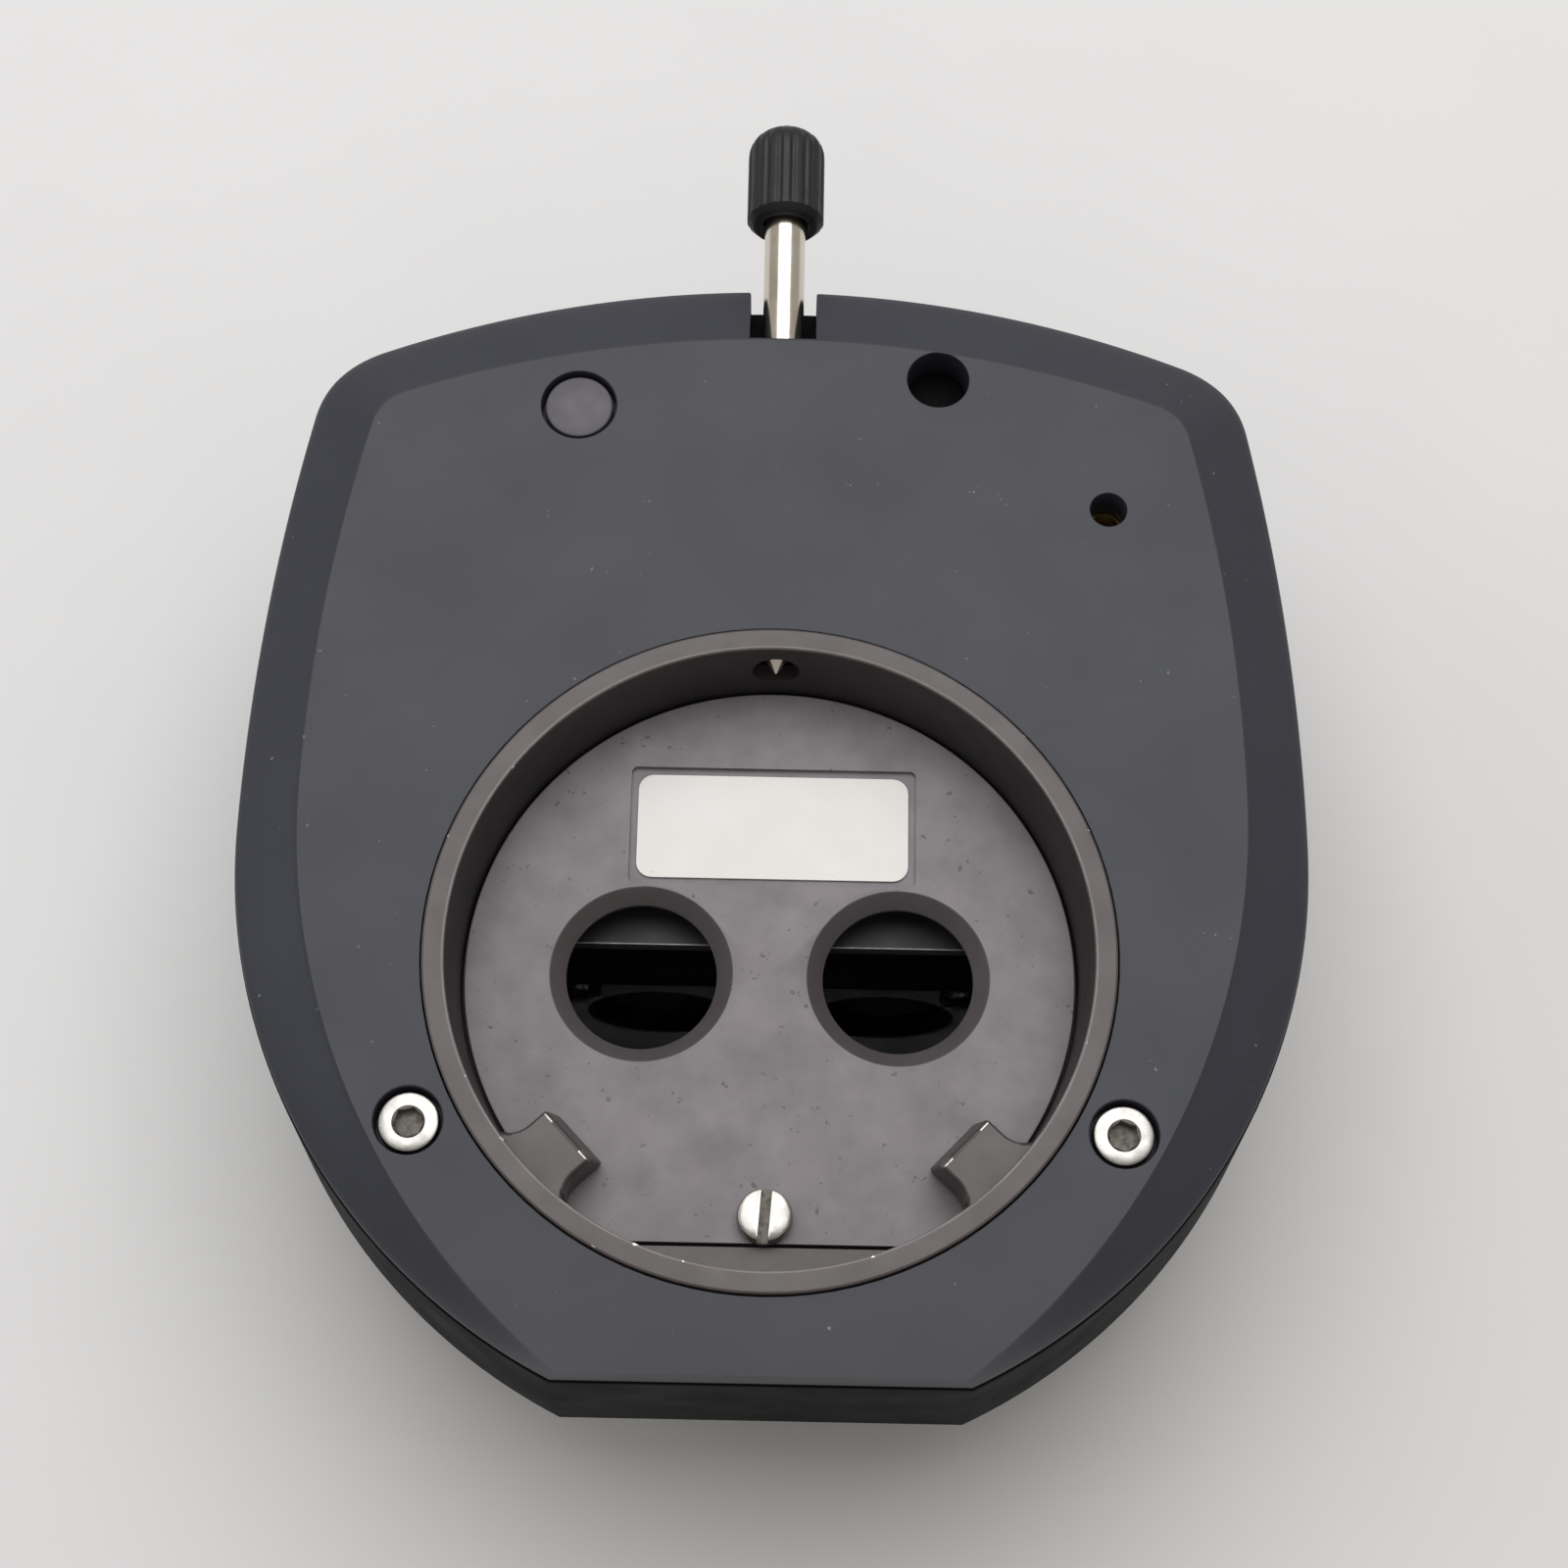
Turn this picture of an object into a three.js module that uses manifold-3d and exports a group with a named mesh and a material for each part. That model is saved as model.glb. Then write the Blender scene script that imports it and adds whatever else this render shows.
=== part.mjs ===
// Variable tilting wedge module for a stereo microscope: a tray with a male dovetail flange below,
// a tilting head with a female tube seat above, two mirrors between them, and a radial clamp screw.
// Millimetres. Origin at the centre of the flange's underside, X right, Y towards the clamp knob, Z up.
import * as THREE from 'three';
import { mergeVertices } from 'three/addons/utils/BufferGeometryUtils.js';
import Module from 'manifold-3d';

const wasm = await Module();
wasm.setup();

// ---------------------------------------------------------------- driving dimensions
const GAP = 0.3;                 // gap between fitted pieces
const WIDTH = 100;               // over the widest part of the cover's edge
const REACH = 70.4;              // seat centre to the middle of the back
const FACE_Z = 44;               // top face of the cover
const SEAT_Y = -30;              // centre of the tube seat, along Y
const CHANNEL_X = 12;            // half the spacing of the two optical channels
const BORE_R = 28.8;             // tube seat at its floor

const COVER_T = 4;               // height of the cover's bevelled edge
const SKIRT_WALL = 2.2;
const SKIRT_FLARE = 0.7;         // how far the skirt's lower edge stands outside the cover's edge
const CHASSIS_T = 3.2;

const RING_PROUD = 0.4;
const SEAT_DEPTH = 8.6;          // ring top to floor plate
const PLATE_T = 1.5;
const LEDGE_T = 1.0;
const APERTURE_R = 8.47;
const APERTURE_THROAT_R = 7.05;
const APERTURE_BEVEL = 1.1;
const LUG = { angle: 43.5, half: 3.1, rise: 4.3, end: 2.0, fillet: 2.6, lean: 1.1, top: 3.4, bottom: 8.0 };

const TILT_Y = -14;              // tilt axis, halfway between the mirror pivot and the drive pin
const TILT_MAX = 20;             // degrees
const FLOOR_T = 2.5;
const TRAY_BOTTOM = 6.3;
const TRAY_WALL = 1.9;
const BASE_APERTURE_R = 8;

const ROD_R = 2.05;
const TIP_LEN = 3.2;
const KNOB_LEN = 11;
const KNOB_R = 3.9;
const NOTCH_HALF = 3.3;

// sizes that follow from the seat
const BORE_TOP_R = BORE_R + 0.7;
const RING_R = BORE_R + 2.8;     // flange of the seat ring
const RING_BODY_R = RING_R - 1;
const LEDGE_R = BORE_R - 8.4;
const CHORD = BORE_R - 3.5;      // flat side of the floor plate, from the seat centre
const FLANGE_R = BORE_R;         // the flange below fits a seat like the one on top
const FLANGE_NECK_R = FLANGE_R - 2.8;

// plan outlines, measured from the seat centre
const EDGE = {
  flatY: -RING_R - 7, flatHalf: WIDTH / 2 - 31.5, sideX: WIDTH / 2, sideY: 12,
  cornerX: WIDTH / 2 - 5.1, rearY: REACH, rearR: WIDTH * 1.05, fillet: 5,
};
const FACE = {
  ...EDGE, flatHalf: EDGE.flatHalf - 0.8, sideX: EDGE.sideX - 6.1, sideY: EDGE.sideY + 3,
  cornerX: EDGE.cornerX - 5.8, rearY: EDGE.rearY - 7.5, fillet: 2.5,
};
const TRAY = {
  ...EDGE, flatY: EDGE.flatY + 5.2, flatHalf: EDGE.flatHalf - 2.5, sideX: EDGE.sideX - 4,
  cornerX: EDGE.cornerX - 3.7, rearY: EDGE.rearY - 2.8, fillet: 6,
};

// levels that follow
const EDGE_Z = FACE_Z - COVER_T;
const SKIRT_TOP = EDGE_Z - GAP;
const CHASSIS_BOTTOM = SKIRT_TOP - CHASSIS_T;
const RING_TOP = FACE_Z + RING_PROUD;
const PLATE_TOP = RING_TOP - SEAT_DEPTH;
const PLATE_BOTTOM = PLATE_TOP - PLATE_T;
const LEDGE_TOP = PLATE_BOTTOM - GAP;
const RING_BOTTOM = LEDGE_TOP - LEDGE_T;
const TRAY_TOP = FACE_Z - 8.6;
const SKIRT_BOTTOM = FACE_Z - 23;       // lower edge of the skirt at the hinge and in front of it
const SKIRT_REAR_BOTTOM = FACE_Z - 16;  // lower edge of the skirt at the back
const AXIS_Z = FACE_Z - 25;             // height of the tilt and mirror axes
const CLAMP_Z = EDGE_Z;
const FLOOR_TOP = TRAY_BOTTOM + FLOOR_T;
const MIRROR_PIVOT_Y = 0;
const PIN_Y = 2 * TILT_Y - MIRROR_PIVOT_Y;
const rad = THREE.MathUtils.degToRad;

// ---------------------------------------------------------------- solids
function solid(geometry) {
  const g = geometry.index ? geometry.clone() : geometry;
  g.deleteAttribute('normal');
  g.deleteAttribute('uv');
  const m = mergeVertices(g, 1e-4);
  return new wasm.Manifold(new wasm.Mesh({
    numProp: 3,
    vertProperties: new Float32Array(m.attributes.position.array),
    triVerts: new Uint32Array(m.index.array),
  }));
}

const place = (s, x, y, z) => s.translate([x, y, z]);

// prism of a plan outline between two heights
function prism(points, z0, z1) {
  const shape = new THREE.Shape(points.map(([x, y]) => new THREE.Vector2(x, y)));
  const g = new THREE.ExtrudeGeometry(shape, { depth: z1 - z0, bevelEnabled: false });
  g.translate(0, 0, z0);
  return solid(g);
}

// solid between stacked outlines with equal numbers of points
function loft(levels) {
  const n = levels[0].points.length;
  const pos = [];
  const idx = [];
  for (const level of levels) {
    for (const [x, y] of level.points) pos.push(x, y, level.z);
  }
  for (let k = 0; k < levels.length - 1; k += 1) {
    for (let i = 0; i < n; i += 1) {
      const a = k * n + i;
      const b = k * n + ((i + 1) % n);
      idx.push(a, b, b + n, a, b + n, a + n);
    }
  }
  const flat = levels[0].points.map(([x, y]) => new THREE.Vector2(x, y));
  const caps = THREE.ShapeUtils.triangulateShape(flat, []);
  const top = (levels.length - 1) * n;
  for (const [a, b, c] of caps) {
    idx.push(a, c, b, top + a, top + b, top + c);
  }
  const g = new THREE.BufferGeometry();
  g.setAttribute('position', new THREE.Float32BufferAttribute(pos, 3));
  g.setIndex(idx);
  return solid(g);
}

// solid of revolution about Z from [radius, height] pairs that start and end on the axis
function turned(profile, segments = 48) {
  const g = new THREE.LatheGeometry(profile.map(([r, z]) => new THREE.Vector2(r, z)), segments);
  g.rotateX(Math.PI / 2);
  return solid(g);
}

const disc = (r, z0, z1, segments = 48) =>
  turned([[0, z0], [r, z0], [r, z1], [0, z1]], segments);

// turned piece laid along Y (towards the back) or along X, starting from the origin
const alongY = (s) => s.rotate([-90, 0, 0]);
const alongX = (s) => s.rotate([0, 90, 0]);

const box = (x0, x1, y0, y1, z0, z1) =>
  prism([[x0, y0], [x1, y0], [x1, y1], [x0, y1]], z0, z1);

// plate standing in the Y-Z plane between two X values
const cheek = (yz, x0, x1) => prism(yz, x0, x1).rotate([90, 0, 90]);

const join = (...parts) => parts.reduce((a, b) => a.add(b));
const cut = (body, ...tools) => tools.reduce((a, b) => a.subtract(b), body);

// ---------------------------------------------------------------- plan outlines
function arcPoints(cx, cy, r, a0, a1, steps) {
  const out = [];
  for (let i = 0; i <= steps; i += 1) {
    const a = a0 + ((a1 - a0) * i) / steps;
    out.push([cx + r * Math.cos(a), cy + r * Math.sin(a)]);
  }
  return out;
}

function grow(o, by, flatBy = by) {
  return {
    ...o,
    flatY: o.flatY - flatBy,
    flatHalf: o.flatHalf + by * 0.4,
    sideX: o.sideX + by,
    cornerX: o.cornerX + by,
    rearY: o.rearY + by,
  };
}

// radius of the front arc, which runs from the front flat to the widest place
function frontRadius(o) {
  const a = o.sideX - o.flatHalf;
  const d = o.sideY - o.flatY;
  return (a * a + d * d) / (2 * a);
}

// half width in front of the widest place
const halfWidthAt = (o, y) =>
  o.sideX - frontRadius(o) + Math.sqrt(frontRadius(o) ** 2 - (o.sideY - y) ** 2);

// right half from the front flat round to the middle of the back, then mirrored
function outline(o) {
  const frontR = frontRadius(o);
  const frontX = o.sideX - frontR;
  const start = Math.atan2(o.flatY - o.sideY, o.flatHalf - frontX);
  const front = arcPoints(frontX, o.sideY, frontR, start, 0, 16);

  const rearX = Math.min(o.cornerX, o.rearR * 0.9);
  const rearCY = o.rearY - o.rearR;
  const cornerY = rearCY + Math.sqrt(o.rearR ** 2 - rearX ** 2);
  const sag = o.sideX - rearX;
  const run = cornerY - o.sideY;
  const sideR = (run * run + sag * sag) / (2 * sag);
  const sideEnd = Math.asin(run / sideR) - o.fillet / sideR;
  const side = arcPoints(o.sideX - sideR, o.sideY, sideR, 0, sideEnd, 8).slice(1);

  const rearStart = Math.asin((rearX - o.fillet) / o.rearR);
  const rear = arcPoints(0, rearCY, o.rearR, Math.PI / 2 - rearStart, Math.PI / 2, 10);
  const from = side[side.length - 1];
  const to = rear[0];
  const round = [];
  for (let i = 1; i < 6; i += 1) {
    const t = i / 6;
    round.push([0, 1].map((k) => (1 - t) ** 2 * from[k] + 2 * t * (1 - t) * [rearX, cornerY][k]
      + t * t * to[k]));
  }
  const right = [...front, ...side, ...round, ...rear];
  const left = right.slice(0, -1).reverse().map(([x, y]) => [-x, y]);
  return [...right, ...left].map(([x, y]) => [x, y + SEAT_Y]);
}

const seat = (s) => place(s, 0, SEAT_Y, 0);
const channels = (tool, y) => join(place(tool, -CHANNEL_X, y, 0), place(tool, CHANNEL_X, y, 0));

// ---------------------------------------------------------------- pieces
const group = new THREE.Group();
group.name = 'tilting_wedge_module';

const FINISH = {
  satin_paint: [0x56585e, 0.45, 0.1],
  black_paint: [0x1b1b1d, 0.5, 0.1],
  black_anodised: [0x242427, 0.55, 0.4],
  cast_grey: [0x7a7472, 0.5, 0.5],
  floor_grey: [0x8a8487, 0.5, 0.4],
  nickel: [0xc9c6be, 0.25, 1],
  steel: [0xb9babd, 0.3, 1],
  brass: [0xb08d4a, 0.3, 1],
  black_plastic: [0x2e2d33, 0.45, 0],
  grey_plastic: [0x6b676e, 0.55, 0],
  rubber: [0x1a1a1a, 0.8, 0],
  mirror: [0xd8dde2, 0.05, 1],
  white_film: [0xeceae7, 0.4, 0],
};

function add(name, body, finish) {
  const mesh = body.getMesh();
  const g = new THREE.BufferGeometry();
  g.setAttribute('position', new THREE.BufferAttribute(new Float32Array(mesh.vertProperties), 3));
  g.setIndex(new THREE.BufferAttribute(new Uint32Array(mesh.triVerts), 1));
  g.computeVertexNormals();
  const [color, roughness, metalness] = FINISH[finish];
  const m = new THREE.Mesh(g, new THREE.MeshStandardMaterial({ color, roughness, metalness }));
  m.name = name;
  group.add(m);
}

// face fittings, measured from the seat centre
const COVER_SCREW = {
  x: (RING_R + 4.3) * Math.cos(rad(27.6)), y: -(RING_R + 4.3) * Math.sin(rad(27.6)),
  headR: 2.75, boreR: 3.1, depth: 2.6, headH: 2.0,
};
const PLUG = { x: -FACE.cornerX * 0.505, y: FACE.rearY - 7.6, r: 3.29, recessR: 3.65, depth: 1.5, below: 0.4 };
const PORT = { x: FACE.cornerX * 0.39, y: FACE.rearY - 4.1, r: 3.0 };
const INSERT = { x: FACE.cornerX - 7.4, y: FACE.rearY - 17.9, holeR: 1.76, r: 2.3, boreR: 1.2, len: 4.5 };

const rodTunnel = (r, y0, y1) => place(alongY(disc(r, 0, y1 - y0, 32)), 0, SEAT_Y + y0, CLAMP_Z);
const rearNotch = (y0, z0) =>
  box(-NOTCH_HALF, NOTCH_HALF, SEAT_Y + y0, SEAT_Y + EDGE.rearY + 10, z0, FACE_Z + 1);
const atFace = (f, r, z0, z1, segments = 32) => place(disc(r, z0, z1, segments), f.x, SEAT_Y + f.y, 0);
const coverScrewSpots = [-1, 1].map((side) => ({ ...COVER_SCREW, x: side * COVER_SCREW.x, side }));

// cover: bevelled plate with the seat bore, the clamp notch and the face fittings
const MID = {};
for (const key of Object.keys(EDGE)) MID[key] = EDGE[key] * 0.45 + FACE[key] * 0.55;
let cover = loft([
  { points: outline(EDGE), z: EDGE_Z },
  { points: outline(grow(EDGE, -0.15, 0)), z: EDGE_Z + 0.5 },
  { points: outline(MID), z: EDGE_Z + COVER_T * 0.68 },
  { points: outline(FACE), z: FACE_Z },
]);
cover = cut(
  cover,
  seat(disc(RING_R + GAP, EDGE_Z - 1, FACE_Z + 1, 96)),
  rodTunnel(NOTCH_HALF, BORE_R - 1, EDGE.rearY + 2),
  rearNotch(FACE.rearY + 0.3, EDGE_Z - 1),
  atFace(PLUG, PLUG.recessR, FACE_Z - PLUG.depth - PLUG.below - GAP, FACE_Z + 1),
  atFace(PORT, PORT.r, EDGE_Z - 1, FACE_Z + 1),
  atFace(INSERT, INSERT.holeR, EDGE_Z - 1, FACE_Z + 1),
);
for (const s of coverScrewSpots) {
  cover = cut(
    cover,
    atFace(s, s.boreR, FACE_Z - s.depth, FACE_Z + 1),
    atFace(s, 1.8, EDGE_Z - 1, FACE_Z, 24),
  );
}
add('top_cover', cover, 'satin_paint');

// skirt: black shell under the cover, its lower edge rising towards the back
const BEHIND = SEAT_Y + 2 * REACH;
const AHEAD = SEAT_Y - REACH;
const skirtRise = (SKIRT_REAR_BOTTOM - SKIRT_BOTTOM) / (SEAT_Y + EDGE.rearY - TILT_Y);
const skirtSlope = cheek([
  [AHEAD, 0],
  [BEHIND, 0],
  [BEHIND, SKIRT_BOTTOM + skirtRise * (BEHIND - TILT_Y)],
  [TILT_Y, SKIRT_BOTTOM],
  [AHEAD, SKIRT_BOTTOM],
], -WIDTH, WIDTH);
const skirtOuter = loft([
  { points: outline(grow(EDGE, SKIRT_FLARE, 0.2)), z: SKIRT_BOTTOM - 1 },
  { points: outline(grow(EDGE, 0.15, 0.2)), z: SKIRT_TOP },
]);
const SKIRT_INNER = grow(EDGE, 0.15 - SKIRT_WALL, 0.2 - SKIRT_WALL);
add('skirt_shell', cut(
  skirtOuter,
  prism(outline(SKIRT_INNER), 0, FACE_Z),
  skirtSlope,
  rearNotch(EDGE.rearY - 10, CLAMP_Z - NOTCH_HALF - 1.2),
), 'black_paint');

// chassis: the plate inside the skirt that carries everything that tilts
const CHASSIS = grow(SKIRT_INNER, -GAP);
let chassis = cut(
  prism(outline(CHASSIS), CHASSIS_BOTTOM, SKIRT_TOP),
  seat(disc(RING_BODY_R + GAP, 0, FACE_Z, 96)),
  rodTunnel(NOTCH_HALF, BORE_R - 1, EDGE.rearY + 2),
  atFace(INSERT, INSERT.r + 0.15, 0, FACE_Z),
  rearNotch(EDGE.rearY - 10, CLAMP_Z - NOTCH_HALF),
);
// the hinge arms stand just inside the tray's wall at their foremost point
const ARM_OUT = halfWidthAt(TRAY, PIN_Y - 3 - SEAT_Y) - TRAY_WALL - GAP - 0.06;
const ARM = { x0: ARM_OUT - 2.8, x1: ARM_OUT, halfY: 16, drop: 2 };
const ARM_SCREW = { headR: 1.9, headH: 1.6, r: 0.9, len: 6.7, sunk: 1.8 };
const ARM_SCREW_Y = [TILT_Y - 9, TILT_Y + 9];
for (const side of [-1, 1]) {
  for (const y of ARM_SCREW_Y) {
    const x = (side * (ARM.x0 + ARM.x1)) / 2;
    chassis = cut(
      chassis,
      place(disc(1.2, 0, FACE_Z, 24), x, y, 0),
      place(disc(ARM_SCREW.headR + 0.25, SKIRT_TOP - ARM_SCREW.sunk, FACE_Z, 24), x, y, 0),
    );
  }
}
for (const s of coverScrewSpots) chassis = cut(chassis, atFace(s, 1.65, 0, FACE_Z, 24));
add('upper_chassis', chassis, 'black_anodised');

// seat ring: tapered female bore with a ledge, two fixed lugs and the hole of the clamp screw
const lugOutline = (crest) => {
  const foot = crest + LUG.end;
  const half = [
    [crest + 0.3, LUG.half],
    ...[0, 0.5, 1, 1.5].map((t) => [
      foot + LUG.fillet * Math.sin(t), LUG.half + LUG.fillet * (1 - Math.cos(t)),
    ]),
    [BORE_TOP_R + 0.5, LUG.half + LUG.fillet + 0.2],
  ];
  const other = half.map(([r, t]) => [r, -t]).reverse();
  return [...other, [crest, -LUG.half + 0.3], [crest, LUG.half - 0.3], ...half];
};
const lug = (side) => {
  const crest = BORE_R - LUG.rise;
  const turn = rad(-LUG.angle);
  const inPlan = (points) => {
    const out = points.map(([r, t]) => [
      side * (r * Math.cos(turn) - t * Math.sin(turn)), r * Math.sin(turn) + t * Math.cos(turn) + SEAT_Y,
    ]);
    return side > 0 ? out.reverse() : out;
  };
  const top = lugOutline(crest);
  const bottom = top.map(([r, t]) => [r < crest + 0.5 ? r - LUG.lean : r, t]);
  return loft([
    { points: inPlan(bottom), z: RING_TOP - LUG.bottom },
    { points: inPlan(top), z: RING_TOP - LUG.top },
  ]);
};
const SLOT_SCREW_Y = 2.3 - CHORD;
const ring = cut(
  seat(turned([
    [0, RING_BOTTOM], [RING_BODY_R, RING_BOTTOM], [RING_BODY_R, FACE_Z - 1.9], [RING_R, FACE_Z - 1.5],
    [RING_R, RING_TOP - 0.2], [RING_R - 0.2, RING_TOP], [0, RING_TOP],
  ], 96)),
  seat(turned([
    [0, LEDGE_TOP], [BORE_R, LEDGE_TOP], [BORE_R, PLATE_TOP], [BORE_TOP_R, RING_TOP - 0.15],
    [BORE_TOP_R + 0.2, RING_TOP + 0.05], [BORE_TOP_R + 0.2, RING_TOP + 1], [0, RING_TOP + 1],
  ], 96)),
  seat(disc(LEDGE_R, 0, FACE_Z, 64)),
  place(disc(1.3, 0, FACE_Z, 24), 0, SEAT_Y + SLOT_SCREW_Y, 0),
);
// shelf beside the floor plate's flat side, just under the plate's top
const SHELF_DROP = 0.35;
const shelf = seat(disc(BORE_R + 0.4, LEDGE_TOP - 0.2, PLATE_TOP - SHELF_DROP, 96)).intersect(
  box(-BORE_R, BORE_R, SEAT_Y - RING_R, SEAT_Y - CHORD - GAP, 0, FACE_Z),
);
add('tube_seat_ring', cut(
  join(ring, shelf, lug(-1), lug(1)),
  rodTunnel(ROD_R + 0.2, LEDGE_R, EDGE.rearY),
), 'cast_grey');

// floor plate with the two bevelled apertures
const LABEL = { w: 25.8, h: 10.4, y: APERTURE_R + 6.33, t: 0.2, margin: 0.7, pocket: 0.5 };
const labelBox = (m, z0, z1) => box(
  -LABEL.w / 2 - m, LABEL.w / 2 + m,
  SEAT_Y + LABEL.y - LABEL.h / 2 - m, SEAT_Y + LABEL.y + LABEL.h / 2 + m, z0, z1,
);
const apertureCut = turned([
  [0, PLATE_BOTTOM - 1], [APERTURE_THROAT_R, PLATE_BOTTOM - 1],
  [APERTURE_THROAT_R, PLATE_TOP - APERTURE_BEVEL], [APERTURE_R, PLATE_TOP],
  [APERTURE_R, PLATE_TOP + 1], [0, PLATE_TOP + 1],
], 64);
add('aperture_plate', cut(
  seat(disc(BORE_R - GAP, PLATE_BOTTOM, PLATE_TOP, 96)),
  channels(apertureCut, SEAT_Y),
  labelBox(LABEL.margin, PLATE_TOP - LABEL.pocket, PLATE_TOP + 1),
  box(-BORE_R, BORE_R, SEAT_Y - CHORD - 20, SEAT_Y - CHORD, 0, FACE_Z),
  place(disc(1.7, 0, FACE_Z, 24), 0, SEAT_Y + SLOT_SCREW_Y, 0),
), 'floor_grey');
add('label_plate', labelBox(
  0, PLATE_TOP - LABEL.pocket + 0.05, PLATE_TOP - LABEL.pocket + 0.05 + LABEL.t,
), 'white_film');

// ---------------------------------------------------------------- screws
const hexShape = (acrossFlats) => {
  const r = acrossFlats / Math.sqrt(3);
  return [0, 60, 120, 180, 240, 300].map((a) => [r * Math.cos(rad(a)), r * Math.sin(rad(a))]);
};

// socket-head screw, head resting at z = 0 and shank below
function socketScrew(headR, headH, shankR, shankLen, hex) {
  const blank = turned([
    [0, -shankLen], [shankR - 0.2, -shankLen], [shankR, -shankLen + 0.3], [shankR, 0],
    [headR, 0], [headR, headH - 0.25], [headR - 0.25, headH], [0, headH],
  ], 32);
  return cut(blank, prism(hexShape(hex), headH - headH * 0.6, headH + 1));
}

// slotted cheese-head screw
function slotScrew(headR, headH, shankR, shankLen, slot) {
  const blank = turned([
    [0, -shankLen], [shankR - 0.2, -shankLen], [shankR, -shankLen + 0.3], [shankR, 0],
    [headR, 0], [headR, headH - 0.2], [headR - 0.2, headH], [0, headH],
  ], 32);
  return cut(blank, box(-slot / 2, slot / 2, -headR - 1, headR + 1, headH * 0.5, headH + 1));
}

for (const s of coverScrewSpots) {
  const screw = socketScrew(s.headR, s.headH, 1.5, FACE_Z - s.depth - CHASSIS_BOTTOM, 2.5);
  add(`cover_screw_${s.side < 0 ? 'left' : 'right'}`,
    place(screw, s.x, SEAT_Y + s.y, FACE_Z - s.depth + 0.1), 'steel');
}
add('floor_plate_screw', place(
  slotScrew(2.53, 1.5, 1.15, PLATE_TOP - RING_BOTTOM - 0.1, 1.0).rotate([0, 0, -4]),
  0, SEAT_Y + SLOT_SCREW_Y, PLATE_TOP + 0.1,
), 'steel');

// plug disc and threaded insert in the face
add('face_plug', atFace(PLUG, PLUG.r, FACE_Z - PLUG.below - PLUG.depth, FACE_Z - PLUG.below), 'grey_plastic');
add('threaded_insert', cut(
  atFace(INSERT, INSERT.r, EDGE_Z - GAP - INSERT.len, EDGE_Z - GAP),
  atFace(INSERT, INSERT.boreR, 0, FACE_Z, 24),
), 'brass');

// ---------------------------------------------------------------- tilt hinge
const armTop = CHASSIS_BOTTOM - 0.1;
const armOutline = [
  [TILT_Y - ARM.halfY, armTop],
  [TILT_Y - ARM.halfY, armTop - ARM.drop],
  [PIN_Y - 3, AXIS_Z + 4],
  [PIN_Y - 3, AXIS_Z - 2.5],
  [PIN_Y + 3, AXIS_Z - 3.5],
  [TILT_Y - 3, AXIS_Z - 5.5],
  [TILT_Y + 3, AXIS_Z - 5.5],
  [TILT_Y + 6, AXIS_Z + 2],
  [TILT_Y + ARM.halfY, armTop - ARM.drop],
  [TILT_Y + ARM.halfY, armTop],
];
const PIN_R = 3;
const HINGE_OUT = TRAY.sideX - 0.1;
const acrossX = (r, x0, x1, y, z, segments = 32) => place(alongX(disc(r, 0, x1 - x0, segments)), x0, y, z);
const mirrorX = (s, side) => (side > 0 ? s : s.mirror([1, 0, 0]));

for (const side of [-1, 1]) {
  const tag = side < 0 ? 'left' : 'right';
  let arm = cut(
    cheek(armOutline, ARM.x0, ARM.x1),
    acrossX(PIN_R + 0.05, ARM.x0 - 5, ARM.x1 + 5, TILT_Y, AXIS_Z),
  );
  for (const y of ARM_SCREW_Y) {
    const x = (ARM.x0 + ARM.x1) / 2;
    arm = cut(arm, place(disc(ARM_SCREW.r + 0.1, armTop - 6, armTop + 1, 24), x, y, 0));
  }
  if (side < 0) arm = cut(arm, acrossX(1.5, ARM.x0 - 5, ARM.x1 + 5, PIN_Y, AXIS_Z));
  add(`hinge_arm_${tag}`, mirrorX(arm, side), 'black_anodised');
  // pin with a head inside the arm
  const pin = join(
    acrossX(PIN_R, ARM.x0 - 0.5, HINGE_OUT, TILT_Y, AXIS_Z),
    acrossX(PIN_R + 1.5, ARM.x0 - 0.9, ARM.x0 - 0.1, TILT_Y, AXIS_Z),
  );
  add(`hinge_pin_${tag}`, mirrorX(pin, side), 'steel');
  ARM_SCREW_Y.forEach((y, i) => {
    const screw = socketScrew(ARM_SCREW.headR, ARM_SCREW.headH, ARM_SCREW.r, ARM_SCREW.len, 1.5);
    add(`arm_screw_${tag}_${i + 1}`, place(
      screw.rotate([0, 0, 15]), (side * (ARM.x0 + ARM.x1)) / 2, y, SKIRT_TOP - ARM_SCREW.sunk + 0.1,
    ), 'steel');
  });
}
// ---------------------------------------------------------------- tray and dovetail flange
const trayFall = Math.tan(rad(TILT_MAX + 0.5)) * (BEHIND - TILT_Y);
const trayRoof = cheek([
  [AHEAD, TRAY_TOP],
  [TILT_Y, TRAY_TOP],
  [BEHIND, TRAY_TOP - trayFall],
  [BEHIND, 2 * FACE_Z],
  [AHEAD, 2 * FACE_Z],
], -WIDTH, WIDTH);
const FLANGE_SCREW_R = FLANGE_NECK_R - 2.5;
const flangeScrewSpots = [90, 210, 330].map((a) => [
  FLANGE_SCREW_R * Math.cos(rad(a)), FLANGE_SCREW_R * Math.sin(rad(a)),
]);
const baseAperture = disc(BASE_APERTURE_R, -5, 15);
const POST = { x0: ARM.x0 - 7.7, x1: ARM.x0 - 4.7, halfY: 5, footY: 9 };
const WALL_X = TRAY.sideX - TRAY_WALL;
let tray = cut(
  prism(outline(TRAY), TRAY_BOTTOM, TRAY_TOP + 1),
  prism(outline(grow(TRAY, -TRAY_WALL)), FLOOR_TOP, TRAY_TOP + 5),
  trayRoof,
  channels(baseAperture, MIRROR_PIVOT_Y),
  acrossX(PIN_R + 1.35, -WIDTH, WIDTH, TILT_Y, AXIS_Z),
);
for (const [x, y] of flangeScrewSpots) tray = cut(tray, place(disc(1.7, 0, 20, 24), x, y, 0));
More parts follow.
